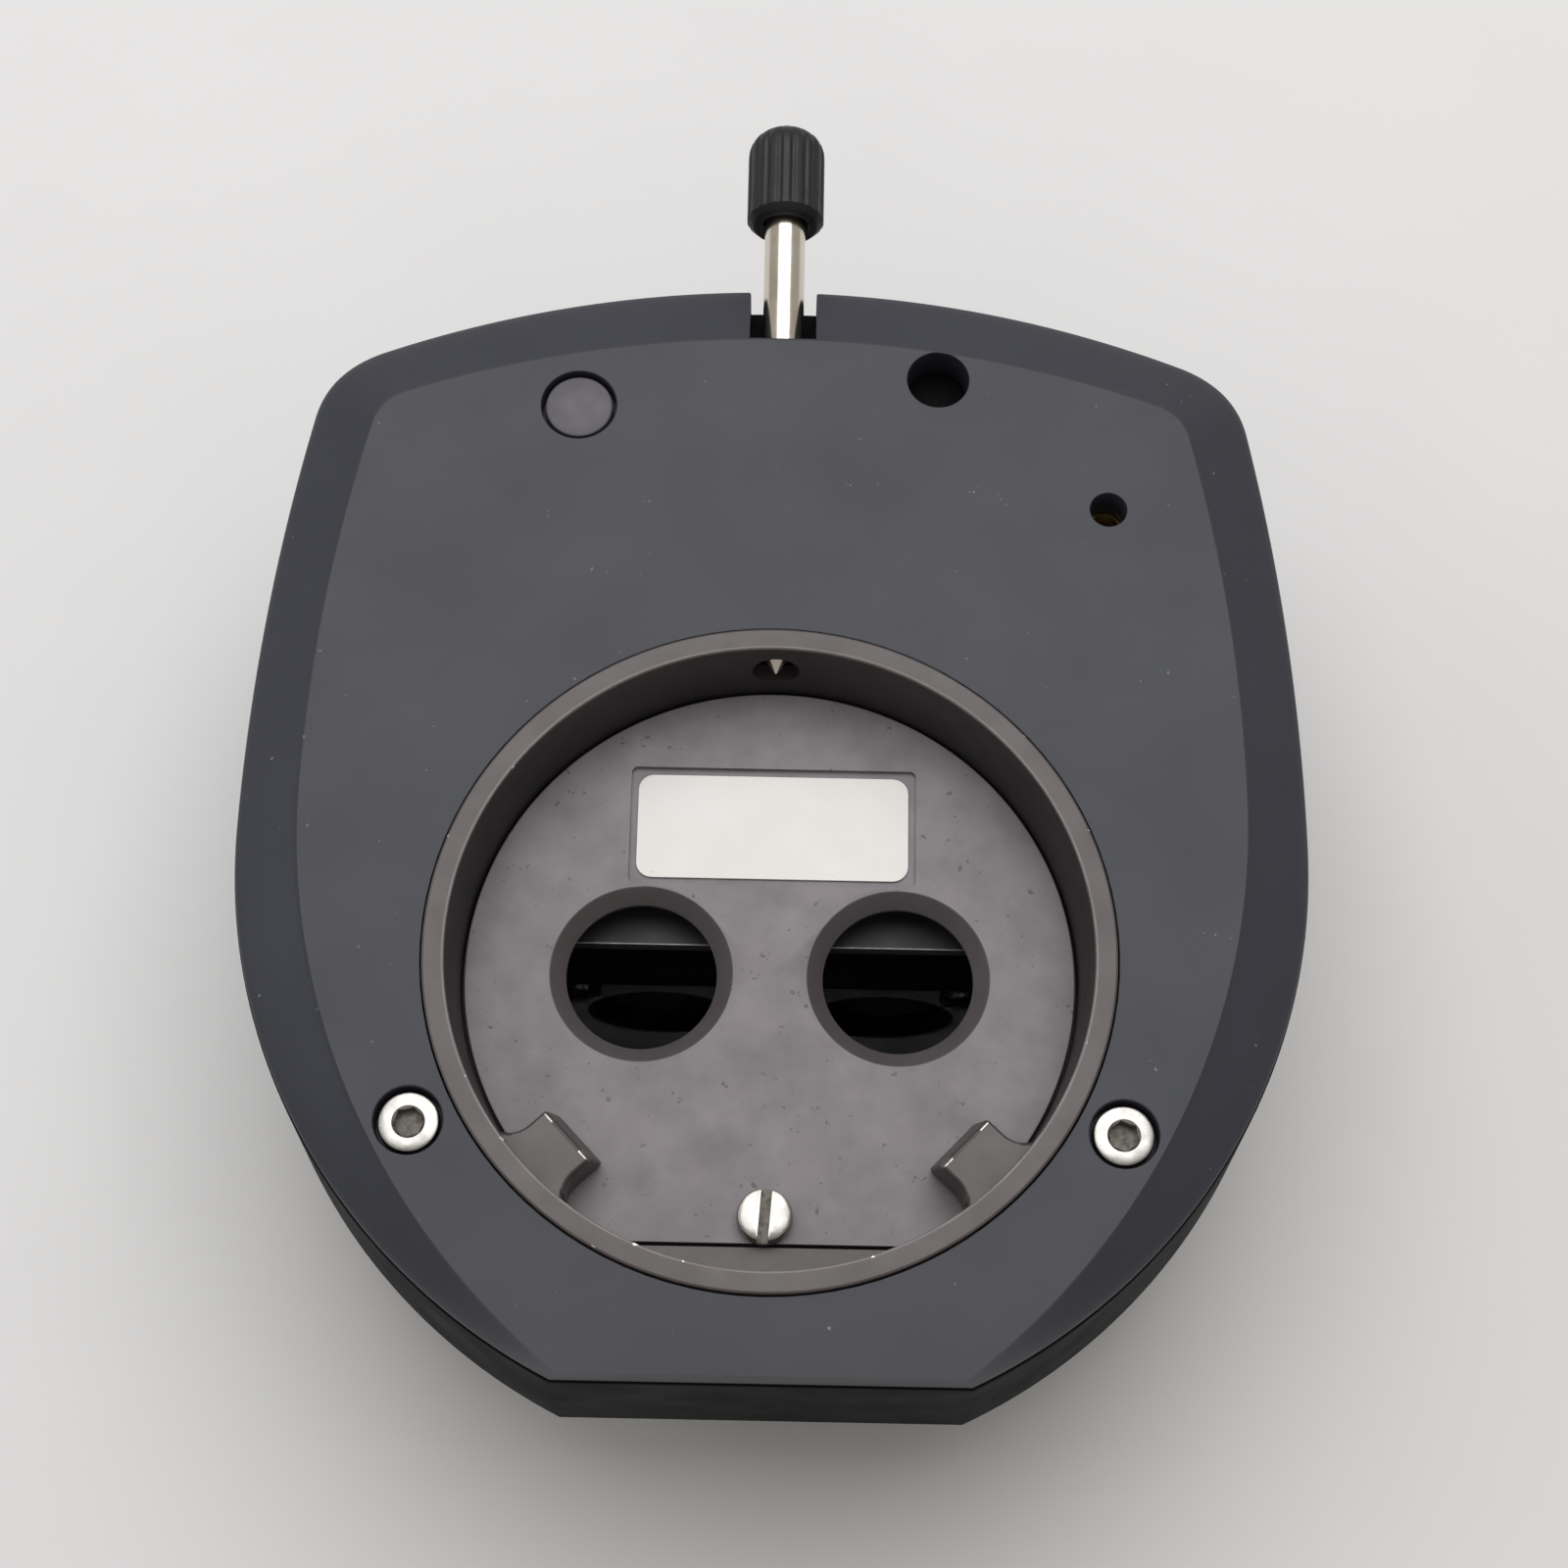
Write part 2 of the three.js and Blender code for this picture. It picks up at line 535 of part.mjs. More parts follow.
for (const side of [-1, 1]) {
  tray = cut(tray, place(disc(1.3, 0, 20, 24), (side * (POST.x0 + POST.x1)) / 2, -POST.footY + 2.5, 0));
}
add('base_tray', tray, 'black_anodised');

add('dovetail_flange', [
  channels(baseAperture, MIRROR_PIVOT_Y),
  ...flangeScrewSpots.map(([x, y]) => place(disc(1.25, 2, 20, 24), x, y, 0)),
].reduce((a, b) => a.subtract(b), turned([
  [0, 0], [FLANGE_R - 0.8, 0], [FLANGE_R, 0.8], [FLANGE_R, 2.2], [FLANGE_NECK_R, 4.2],
  [FLANGE_NECK_R, 4.6], [FLANGE_R + 1, 4.6], [FLANGE_R + 1, TRAY_BOTTOM - GAP], [0, TRAY_BOTTOM - GAP],
], 96)), 'steel');

flangeScrewSpots.forEach(([x, y], i) => {
  add(`flange_screw_${i + 1}`, place(
    slotScrew(2.6, 1.8, 1.15, FLOOR_TOP - 2.4, 0.8).rotate([0, 0, 40 * i]), x, y, FLOOR_TOP + 0.1,
  ), 'steel');
});

for (const side of [-1, 1]) {
  const tag = side < 0 ? 'left' : 'right';
  // flanged bush of the hinge in the tray wall
  const bush = cut(
    join(
      acrossX(PIN_R + 1.25, WALL_X - 0.6, TRAY.sideX - 0.3, TILT_Y, AXIS_Z),
      acrossX(PIN_R + 2.2, WALL_X - 0.9, WALL_X - 0.3, TILT_Y, AXIS_Z),
    ),
    acrossX(PIN_R + 0.15, 0, WIDTH, TILT_Y, AXIS_Z),
  );
  add(`hinge_bush_${tag}`, mirrorX(bush, side), 'brass');
  // post that carries the mirror carriage
  const post = cut(
    cheek([
      [-POST.footY, FLOOR_TOP + 0.1], [POST.halfY, FLOOR_TOP + 0.1], [POST.halfY, AXIS_Z + 2],
      [POST.halfY - 3, AXIS_Z + 4.5], [-POST.halfY + 3, AXIS_Z + 4.5], [-POST.halfY, AXIS_Z + 2],
      [-POST.halfY, FLOOR_TOP + 4], [-POST.footY, FLOOR_TOP + 3],
    ], POST.x0, POST.x1),
    acrossX(2.2, 0, WIDTH, MIRROR_PIVOT_Y, AXIS_Z),
  );
  add(`mirror_post_${tag}`, mirrorX(post, side), 'black_anodised');
}

// ---------------------------------------------------------------- mirrors
// plate lying in the local X-Y plane, its top face at z = 0, turned 45 degrees about X
const slanted = (s, angle, y, z) => place(s.rotate([angle, 0, 0]), 0, y, z);
const MIRROR = { halfX: Math.min(POST.x0 - 5.5, RING_BODY_R - 4.6), t: 2, upper: 17, lower: 16 };
const mirrorPlate = (len) => box(-MIRROR.halfX, MIRROR.halfX, -len / 2, len / 2, -MIRROR.t, 0);
const backing = (halfX, len) =>
  box(-halfX, halfX, -len / 2, len / 2, -MIRROR.t - 2.1, -MIRROR.t - 0.1);

// upper mirror faces up and back; its bracket hangs from the seat ring
add('upper_mirror', slanted(mirrorPlate(MIRROR.upper), -45, SEAT_Y, AXIS_Z), 'mirror');
const bracketBack = slanted(
  backing(MIRROR.halfX + 3, MIRROR.upper),
  -45, SEAT_Y, AXIS_Z,
);
const bracketCheek = (side) => mirrorX(cheek([
  [SEAT_Y - 7.5, AXIS_Z + 3], [SEAT_Y - 2, AXIS_Z - 3], [SEAT_Y + 4.5, AXIS_Z - 9],
  [SEAT_Y + 7.5, AXIS_Z - 6], [SEAT_Y + 5, RING_BOTTOM - 0.1], [SEAT_Y - 9, RING_BOTTOM - 0.1],
  [SEAT_Y - 9, AXIS_Z + 4.5],
], MIRROR.halfX + 0.3, MIRROR.halfX + 2.5), side);
const bracketFoot = (side) => mirrorX(
  box(MIRROR.halfX - 4.5, MIRROR.halfX + 2.5, SEAT_Y - 9, SEAT_Y + 5, RING_BOTTOM - 1.9, RING_BOTTOM - 0.1),
  side,
);
// rail across the back of both channels, which stops stray light above the beams
const bracketRail = box(
  -MIRROR.halfX - 2, MIRROR.halfX + 2, SEAT_Y + 4.4, SEAT_Y + 9, RING_BOTTOM - 3.8, RING_BOTTOM - 2.1,
);
add('upper_mirror_bracket', join(
  bracketBack, bracketRail, bracketCheek(-1), bracketCheek(1), bracketFoot(-1), bracketFoot(1),
), 'black_anodised');

// lower mirror faces down and forward on the carriage that turns at half the tilt
add('lower_mirror', slanted(mirrorPlate(MIRROR.lower), 135, MIRROR_PIVOT_Y, AXIS_Z), 'mirror');
const carrierBack = slanted(
  backing(MIRROR.halfX + 2.5, MIRROR.lower),
  135, MIRROR_PIVOT_Y, AXIS_Z,
);
const carrierCheek = (side) => mirrorX(cut(
  cheek([
    [-4.5, AXIS_Z + 6], [-1.5, AXIS_Z + 8.2], [8.2, AXIS_Z - 1.5], [6, AXIS_Z - 4.5],
    [2, AXIS_Z - 5], [-5, AXIS_Z - 1], [-5, AXIS_Z + 2],
  ], MIRROR.halfX + 0.3, MIRROR.halfX + 2.5),
  acrossX(1.95, 0, WIDTH, MIRROR_PIVOT_Y, AXIS_Z),
), side);
add('mirror_carrier', join(carrierBack, carrierCheek(-1), carrierCheek(1)), 'black_anodised');

const LEVER = { x0: ARM.x0 - 4, x1: ARM.x0 - 2 };
for (const side of [-1, 1]) {
  const tag = side < 0 ? 'left' : 'right';
  const end = side < 0 ? LEVER.x1 + 0.6 : POST.x1 + 1;
  const shaft = join(
    acrossX(1.85, MIRROR.halfX + 0.6, end, MIRROR_PIVOT_Y, AXIS_Z),
    acrossX(2.9, MIRROR.halfX + 2.7, POST.x0 - GAP, MIRROR_PIVOT_Y, AXIS_Z),
  );
  add(`mirror_shaft_${tag}`, mirrorX(shaft, side), 'steel');
}
const slotRun = (MIRROR_PIVOT_Y - PIN_Y) * (1 - Math.cos(rad(TILT_MAX / 2))) + 1.2;
const lever = cut(
  cheek([
    [4, AXIS_Z - 3], [4, AXIS_Z + 3], [-2, AXIS_Z + 4], [PIN_Y - 3.5, AXIS_Z + 3],
    [PIN_Y - 3.5, AXIS_Z - 3], [-2, AXIS_Z - 4],
  ], LEVER.x0, LEVER.x1),
  acrossX(1.95, 0, WIDTH, MIRROR_PIVOT_Y, AXIS_Z),
  acrossX(1.65, 0, WIDTH, PIN_Y - 0.5, AXIS_Z),
  acrossX(1.65, 0, WIDTH, PIN_Y + slotRun, AXIS_Z),
  box(0, WIDTH, PIN_Y - 0.5, PIN_Y + slotRun, AXIS_Z - 1.65, AXIS_Z + 1.65),
);
add('slotted_lever', mirrorX(lever, -1), 'steel');
add('drive_pin', mirrorX(acrossX(1.4, LEVER.x0 - 0.6, ARM.x1 - 0.2, PIN_Y, AXIS_Z), -1), 'steel');

// ---------------------------------------------------------------- clamp screw
const atRod = (s, y) => place(alongY(s), 0, SEAT_Y + y, CLAMP_Z);
const BUSH = { y: RING_BODY_R + 3.4, len: 9, r: 3.1 };
const ROD_TIP_Y = BORE_R;
const KNOB_Y = EDGE.rearY + 7.7;  // near end of the knob, from the seat centre
add('clamp_bush', cut(
  atRod(disc(BUSH.r, 0, BUSH.len, 32), BUSH.y),
  rodTunnel(ROD_R + 0.2, BUSH.y - 5, KNOB_Y),
), 'brass');
add('clamp_o_ring', atRod(cut(
  turned([[0, 0], [2.7, 0], [3.0, 0.3], [3.0, 1.1], [2.7, 1.4], [0, 1.4]], 32),
  disc(ROD_R + 0.15, -1, 3, 32),
), BUSH.y + BUSH.len + 6), 'rubber');
const ROD_END = KNOB_Y + KNOB_LEN * 0.6;
add('clamp_rod', atRod(turned([
  [0, 0], [0.15, 0.1], [ROD_R - 0.25, TIP_LEN], [ROD_R, TIP_LEN + 0.3],
  [ROD_R, ROD_END - ROD_TIP_Y], [0, ROD_END - ROD_TIP_Y],
], 32), ROD_TIP_Y), 'nickel');
const FLUTES = 18;
let knob = turned([
  [0, 0], [KNOB_R - 0.8, 0], [KNOB_R, 0.8], [KNOB_R, KNOB_LEN - 2.2], [KNOB_R - 0.5, KNOB_LEN - 1],
  [KNOB_R - 1.6, KNOB_LEN - 0.2], [KNOB_R - 2.6, KNOB_LEN], [0, KNOB_LEN],
], 72);
knob = cut(knob, disc(ROD_R + 0.1, -1, KNOB_LEN * 0.6 + 0.2, 32));
for (let i = 0; i < FLUTES; i += 1) {
  const a = (i / FLUTES) * 2 * Math.PI;
  const r = KNOB_R + 0.22;
  knob = cut(knob, place(disc(0.42, 1.2, KNOB_LEN + 1, 10), r * Math.cos(a), r * Math.sin(a), 0));
}
const SET_SCREW_Y = 3.2;
knob = cut(knob, place(disc(0.85, 0, 10, 16).rotate([-90, 0, 0]), 0, 0, SET_SCREW_Y));
add('clamp_knob', atRod(knob, KNOB_Y), 'black_plastic');
add('knob_set_screw', atRod(
  cut(
    place(disc(0.75, 0, KNOB_R - ROD_R - 0.6, 16).rotate([-90, 0, 0]), 0, ROD_R + 0.12, SET_SCREW_Y),
    place(prism(hexShape(0.7), 0.5, 3).rotate([-90, 0, 0]), 0, ROD_R + 0.12, SET_SCREW_Y),
  ), KNOB_Y,
), 'steel');

export default group;
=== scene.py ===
"""Looks of a tilting wedge module for a stereo microscope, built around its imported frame.

Every solid is shaped in millimetres and handed over in metres.
"""

import logging
import math
from collections.abc import Callable, Sequence
from dataclasses import dataclass, field
from enum import Enum

import bmesh
import bpy
from mathutils import Matrix, Vector


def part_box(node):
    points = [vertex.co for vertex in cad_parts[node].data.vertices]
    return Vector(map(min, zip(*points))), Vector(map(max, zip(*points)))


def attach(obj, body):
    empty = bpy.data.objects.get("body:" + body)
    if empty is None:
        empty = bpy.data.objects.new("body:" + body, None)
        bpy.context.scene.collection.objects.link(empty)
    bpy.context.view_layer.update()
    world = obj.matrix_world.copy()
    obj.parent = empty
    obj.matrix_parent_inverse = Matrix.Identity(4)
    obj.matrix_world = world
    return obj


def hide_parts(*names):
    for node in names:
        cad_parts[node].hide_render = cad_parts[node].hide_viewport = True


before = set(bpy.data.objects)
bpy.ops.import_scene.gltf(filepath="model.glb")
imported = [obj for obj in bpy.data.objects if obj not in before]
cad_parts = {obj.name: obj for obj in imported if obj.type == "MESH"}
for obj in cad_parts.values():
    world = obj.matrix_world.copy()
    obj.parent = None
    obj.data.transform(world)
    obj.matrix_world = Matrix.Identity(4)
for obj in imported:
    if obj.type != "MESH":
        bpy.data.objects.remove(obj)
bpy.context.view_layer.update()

log = logging.getLogger("wedge_module")
MM = 0.001
FINE = 192
SMOOTH_ANGLE = math.radians(32)
Point = tuple[float, float]
Loop = list[Point]


class Body(Enum):
    """The bodies of the frame that pieces ride on."""

    BASE = "base"
    HEAD = "head"
    CARRIAGE = "mirror_carriage"
    FEED = "clamp_feed"
    SCREW = "clamp_screw"


class Side(Enum):
    """The two sides of the module, as the sign of X."""

    LEFT = -1
    RIGHT = 1

    @property
    def tag(self) -> str:
        """The side's word in piece names."""
        return self.name.lower()


class Axis(Enum):
    """The direction that a turned piece points in."""

    UP = "Z"
    BACK = "Y"
    ACROSS = "X"


# ------------------------------------------------------------------ measuring
@dataclass(frozen=True)
class Span:
    """The room that a frame node fills, in millimetres.

    Attributes:
        low: Lowest corner.
        high: Highest corner.
    """

    low: Vector
    high: Vector

    @classmethod
    def of(cls, node: str) -> "Span":
        """Reads a node's span from the frame."""
        low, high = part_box(node)
        return cls(Vector(low) / MM, Vector(high) / MM)

    @property
    def centre(self) -> Vector:
        """Middle of the span."""
        return (self.low + self.high) / 2

    @property
    def size(self) -> Vector:
        """Extent along the three axes."""
        return self.high - self.low


def linear(code: str) -> tuple[float, float, float, float]:
    """Turns an sRGB hex colour into linear RGBA.

    Args:
        code: Six hex digits, with or without a leading hash.

    Returns:
        Linear red, green, blue and an alpha of one.
    """
    code = code.lstrip("#")
    parts = [int(code[i : i + 2], 16) / 255 for i in (0, 2, 4)]
    low, gain, shift, power = 0.04045, 12.92, 0.055, 2.4
    out = [c / gain if c <= low else ((c + shift) / (1 + shift)) ** power for c in parts]
    return out[0], out[1], out[2], 1.0


# ------------------------------------------------------------------ finishes
def put(
    tree: bpy.types.NodeTree,
    kind: str,
    settings: dict[str | int, object] | None = None,
    links: dict[str | int, bpy.types.NodeSocket] | None = None,
) -> bpy.types.Node:
    """Adds a node with its settings and links.

    Args:
        tree: The material's node tree.
        kind: The node's type name.
        settings: Attributes by name, inputs by name or number, or "stops" for a ramp.
        links: Sockets to join to the node's inputs, by name or number.

    Returns:
        The new node.
    """
    node = tree.nodes.new(kind)
    for key, value in (settings or {}).items():
        if key == "stops":
            ramp = node.color_ramp
            while len(ramp.elements) < len(value):
                ramp.elements.new(0.5)
            for element, (position, colour) in zip(ramp.elements, value):
                element.position = position
                element.color = colour
        elif isinstance(key, str) and hasattr(node, key):
            setattr(node, key, value)
        else:
            node.inputs[key].default_value = value
    for key, socket in (links or {}).items():
        tree.links.new(socket, node.inputs[key])
    return node


def grey(value: float) -> tuple[float, float, float, float]:
    """A neutral linear colour."""
    return value, value, value, 1.0


@dataclass(frozen=True)
class Finish:
    """A surface made from a base colour, blotches, specks, grain and gloss changes.

    Attributes:
        name: Material name, for the real material and how it was made.
        colour: Base colour, sRGB hex.
        blotch: Colour of the blotches, sRGB hex.
        blotch_mm: Size of a blotch.
        blotch_share: How strongly blotches show, 0 to 1.
        speck: Colour of specks of dust or wear, sRGB hex.
        speck_mm: Spacing of specks.
        speck_share: Share of the surface that is specked, 0 to 1.
        roughness: Mean roughness.
        gloss_swing: How far roughness drifts either way.
        metallic: 1 for bare metal.
        grain_mm: Size of the surface grain.
        grain_depth_mm: Height of the surface grain.
        coat: Clear coat weight.
        ior: Index of refraction of a dielectric.
    """

    name: str
    colour: str
    blotch: str
    blotch_mm: float = 6.0
    blotch_share: float = 0.5
    speck: str = "#808080"
    speck_mm: float = 1.2
    speck_share: float = 0.0
    roughness: float = 0.45
    gloss_swing: float = 0.06
    metallic: float = 0.0
    grain_mm: float = 0.3
    grain_depth_mm: float = 0.004
    coat: float = 0.0
    ior: float = 1.5

    def material(self) -> bpy.types.Material:
        """Makes the material once and returns it afterwards.

        Returns:
            The node material.
        """
        if self.name in bpy.data.materials:
            return bpy.data.materials[self.name]
        mat = bpy.data.materials.new(self.name)
        mat.use_nodes = True
        tree = mat.node_tree
        tree.nodes.clear()
        place = put(tree, "ShaderNodeTexCoord").outputs["Object"]
        colour = self.tint(tree, place)
        height = self.relief(tree, place)
        bump = put(
            tree,
            "ShaderNodeBump",
            {"Strength": 1.0, "Distance": self.grain_depth_mm * MM},
            {"Height": height},
        )
        shader = put(
            tree,
            "ShaderNodeBsdfPrincipled",
            {"Metallic": self.metallic, "Coat Weight": self.coat},
            {
                "Base Color": colour,
                "Roughness": self.gloss(tree, place),
                "Normal": bump.outputs["Normal"],
            },
        )
        if not self.metallic:
            shader.inputs["IOR"].default_value = self.ior
        put(tree, "ShaderNodeOutputMaterial", links={"Surface": shader.outputs["BSDF"]})
        return mat

    def tint(self, tree: bpy.types.NodeTree, place: bpy.types.NodeSocket) -> bpy.types.NodeSocket:
        """Mixes base colour, blotches and specks.

        Args:
            tree: The node tree.
            place: Object coordinates.

        Returns:
            The colour socket.
        """
        cloud = put(
            tree,
            "ShaderNodeTexNoise",
            {"Scale": 1 / (self.blotch_mm * MM), "Detail": 5.0, "Roughness": 0.6},
            {"Vector": place},
        )
        mask = put(
            tree,
            "ShaderNodeValToRGB",
            {"stops": [(0.38, grey(0.0)), (0.66, grey(self.blotch_share))]},
            {"Fac": cloud.outputs["Fac"]},
        )
        mixed = put(
            tree,
            "ShaderNodeMix",
            {"data_type": "RGBA", 6: linear(self.colour), 7: linear(self.blotch)},
            {"Factor": mask.outputs["Color"]},
        )
        if not self.speck_share:
            return mixed.outputs[2]
        dust = put(
            tree,
            "ShaderNodeTexNoise",
            {"Scale": 1 / (self.speck_mm * MM), "Detail": 3.0, "Roughness": 0.75},
            {"Vector": place},
        )
        edge = 0.74 - 0.22 * self.speck_share
        spots = put(
            tree,
            "ShaderNodeValToRGB",
            {"stops": [(edge, grey(0.0)), (edge + 0.03, grey(0.85))]},
            {"Fac": dust.outputs["Fac"]},
        )
        flecked = put(
            tree,
            "ShaderNodeMix",
            {"data_type": "RGBA", 7: linear(self.speck)},
            {"Factor": spots.outputs["Color"], 6: mixed.outputs[2]},
        )
        return flecked.outputs[2]

    def gloss(self, tree: bpy.types.NodeTree, place: bpy.types.NodeSocket) -> bpy.types.NodeSocket:
        """Lets roughness drift slowly over the surface.

        Args:
            tree: The node tree.
            place: Object coordinates.

        Returns:
            The roughness socket.
        """
        drift = put(
            tree,
            "ShaderNodeTexNoise",
            {"Scale": 1 / (self.blotch_mm * 0.7 * MM), "Detail": 4.0},
            {"Vector": place},
        )
        spread = put(
            tree,
            "ShaderNodeMapRange",
            {
                "From Min": 0.3,
                "From Max": 0.7,
                "To Min": self.roughness - self.gloss_swing,
                "To Max": self.roughness + self.gloss_swing,
            },
            {"Value": drift.outputs["Fac"]},
        )
        return spread.outputs["Result"]

    def relief(self, tree: bpy.types.NodeTree, place: bpy.types.NodeSocket) -> bpy.types.NodeSocket:
        """Height of the fine grain.

        Args:
            tree: The node tree.
            place: Object coordinates.

        Returns:
            The height socket.
        """
        grain = put(
            tree,
            "ShaderNodeTexNoise",
            {"Scale": 1 / (self.grain_mm * MM), "Detail": 3.0, "Roughness": 0.6},
            {"Vector": place},
        )
        return grain.outputs["Fac"]


@dataclass(frozen=True)
class TurnedFinish(Finish):
    """Metal cut on a lathe: fine rings round an axis instead of grain.

    Attributes:
        centre_mm: A point on the axis.
        axis: Direction of the axis.
        pitch_mm: Spacing of the tool marks.
        along: True for marks stacked along the axis, False for rings on a face.
    """

    centre_mm: tuple[float, float, float] = (0.0, 0.0, 0.0)
    axis: Axis = Axis.UP
    pitch_mm: float = 0.2
    along: bool = False

    def relief(self, tree: bpy.types.NodeTree, place: bpy.types.NodeSocket) -> bpy.types.NodeSocket:
        """Height of the tool marks.

        Args:
            tree: The node tree.
            place: Object coordinates.

        Returns:
            The height socket.
        """
        flat = {Axis.UP: (1, 1, 0), Axis.BACK: (1, 0, 1), Axis.ACROSS: (0, 1, 1)}[self.axis]
        keep = tuple(1 - c for c in flat) if self.along else flat
        shifted = put(
            tree,
            "ShaderNodeVectorMath",
            {"operation": "SUBTRACT", 1: tuple(c * MM for c in self.centre_mm)},
            {0: place},
        )
        masked = put(
            tree,
            "ShaderNodeVectorMath",
            {"operation": "MULTIPLY", 1: keep},
            {0: shifted.outputs["Vector"]},
        )
        reach = put(
            tree,
            "ShaderNodeVectorMath",
            {"operation": "LENGTH"},
            {0: masked.outputs["Vector"]},
        )
        marks = put(
            tree,
            "ShaderNodeTexNoise",
            {"noise_dimensions": "1D", "Scale": 1 / (self.pitch_mm * MM), "Detail": 2.0},
            {"W": reach.outputs["Value"]},
        )
        return marks.outputs["Fac"]


# Aluminium casting under a sprayed satin enamel: an even blue-grey with a fine orange peel and dust.
ENAMEL = Finish(
    name="satin_enamel_sprayed",
    colour="#2a2c34",
    blotch="#30323a",
    blotch_mm=16.0,
    blotch_share=0.5,
    speck="#77777c",
    speck_mm=1.6,
    speck_share=0.12,
    roughness=0.48,
    gloss_swing=0.03,
    grain_mm=0.35,
    grain_depth_mm=0.006,
    ior=1.46,
)
# The same casting under flat black enamel: deep black with hardly any sheen.
BLACK_ENAMEL = Finish(
    name="black_enamel_sprayed",
    colour="#0b0b0c",
    blotch="#101011",
    blotch_mm=10.0,
    roughness=0.6,
    grain_mm=0.35,
    grain_depth_mm=0.006,
    ior=1.14,
)
# Seat ring: aluminium cast, bored and dulled, warm grey with faint tool rings.
SEAT_METAL = TurnedFinish(
    name="aluminium_bored_dull",
    colour="#514c4b",
    blotch="#474342",
    blotch_mm=5.0,
    roughness=0.42,
    gloss_swing=0.05,
    metallic=0.3,
    grain_depth_mm=0.003,
    centre_mm=(0.0, -30.0, 0.0),
    pitch_mm=0.25,
)
# Rims of the seat: the same casting, painted lighter as a highlight along the rounded edges, with small nicks
# rubbed bright where tubes were set down.
RIM_WEAR_AND_HIGHLIGHT = Finish(
    name="aluminium_cast_worn_rim",
    colour="#5c5755",
    blotch="#6c6764",
    blotch_mm=4.0,
    speck="#e6e1d8",
    speck_mm=1.7,
    speck_share=0.3,
    roughness=0.35,
    metallic=0.5,
    grain_mm=0.25,
    grain_depth_mm=0.01,
)
# Corners of the lugs: the casting painted bright as a highlight on the crest's corners.
LUG_CORNER_PAINTED_HIGHLIGHT = Finish(
    name="aluminium_cast_rubbed_bare",
    colour="#c4bfb8",
    blotch="#8d8883",
    blotch_mm=0.7,
    blotch_share=0.9,
    roughness=0.25,
    metallic=1.0,
    grain_mm=0.2,
    grain_depth_mm=0.01,
)
# Bore wall and the faces under the floor plate: the same casting, painted dark as the shade inside the seat.
BORE_PAINTED_SHADE = Finish(
    name="aluminium_bore_painted_shade",
    colour="#211e1f",
    blotch="#322d2e",
    blotch_mm=7.0,
    roughness=0.6,
    grain_mm=0.4,
    grain_depth_mm=0.01,
)
# Floor plate: matt grey stove enamel, mottled by handling, with dark specks.
FLOOR_GREY = Finish(
    name="matt_stove_enamel",
    colour="#7b7578",
    blotch="#6b6669",
    blotch_mm=6.0,
    blotch_share=0.9,
    speck="#474243",
    speck_mm=1.3,
    speck_share=0.35,
    roughness=0.5,
    gloss_swing=0.08,
    grain_mm=0.3,
    grain_depth_mm=0.008,
)
# Bevels and throats of the apertures: the plate painted darker as the shade inside the holes.
APERTURE_PAINTED_SHADE = Finish(
    name="stove_enamel_blackened_edge",
    colour="#3d3839",
    blotch="#463f41",
    blotch_mm=3.0,
    roughness=0.6,
    grain_mm=0.25,
    grain_depth_mm=0.008,
)
# Label: white film, faintly yellowed, with handling marks.
FILM = Finish(
    name="label_film_matt_white",
    colour="#dfdcd9",
    blotch="#d3cfc8",
    blotch_mm=8.0,
    blotch_share=0.45,
    speck="#b9b4a8",
    speck_mm=1.4,
    speck_share=0.1,
    roughness=0.38,
    grain_mm=0.8,
    grain_depth_mm=0.004,
)
# Screws: steel, bright nickel plated, cut on a lathe.
BRIGHT_STEEL = Finish(
    name="steel_nickel_plated",
    colour="#b4b2ad",
    blotch="#8f8d89",
    blotch_mm=1.2,
    blotch_share=0.6,
    roughness=0.28,
    gloss_swing=0.07,
    metallic=1.0,
    grain_mm=0.12,
    grain_depth_mm=0.004,
)
# Sockets and slots of the screws: a rougher steel, painted darker as the shade inside these recesses.
RECESS_PAINTED_SHADE = Finish(
    name="steel_recess_painted_shade",
    colour="#5e5b55",
    blotch="#3b3935",
    blotch_mm=0.6,
    blotch_share=0.8,
    roughness=0.45,
    metallic=0.9,
    grain_mm=0.12,
    grain_depth_mm=0.008,
)
# Clamp rod: ground steel under bright nickel, a little warm.
NICKEL = TurnedFinish(
    name="steel_ground_nickel_plated",
    colour="#d9d3c6",
    blotch="#c2b8a6",
    blotch_mm=3.0,
    blotch_share=0.4,
    roughness=0.2,
    gloss_swing=0.05,
    metallic=1.0,
    grain_depth_mm=0.003,
    axis=Axis.BACK,
    pitch_mm=0.18,
    along=True,
)
# Knob: black phenolic, moulded with straight flutes, a dull sheen on the ribs.
PHENOLIC = Finish(
    name="phenolic_moulded_black",
    colour="#111014",
    blotch="#17161b",
    blotch_mm=2.0,
    roughness=0.5,
    grain_mm=0.25,
    grain_depth_mm=0.006,
    ior=1.45,
)
# Plug: grey ABS, moulded matt.
GREY_ABS = Finish(
    name="abs_moulded_grey",
    colour="#504c53",
    blotch="#47434b",
    blotch_mm=2.5,
    roughness=0.5,
    grain_mm=0.2,
    grain_depth_mm=0.006,
    ior=1.53,
)
# Bushes and insert: turned brass.
BRASS = TurnedFinish(
    name="brass_turned",
    colour="#8f7546",
    blotch="#6f5c38",
    blotch_mm=1.5,
    roughness=0.28,
    metallic=1.0,
    grain_depth_mm=0.004,
    pitch_mm=0.15,
)
# Inner frame: aluminium, milled and black anodised, a deep matt black with a trace of metal.
ANODISED = Finish(
    name="aluminium_black_anodised",
    colour="#1d1d20",
    blotch="#28282c",
    blotch_mm=6.0,
    roughness=0.5,
    metallic=0.3,
    grain_mm=0.2,
    grain_depth_mm=0.004,
)
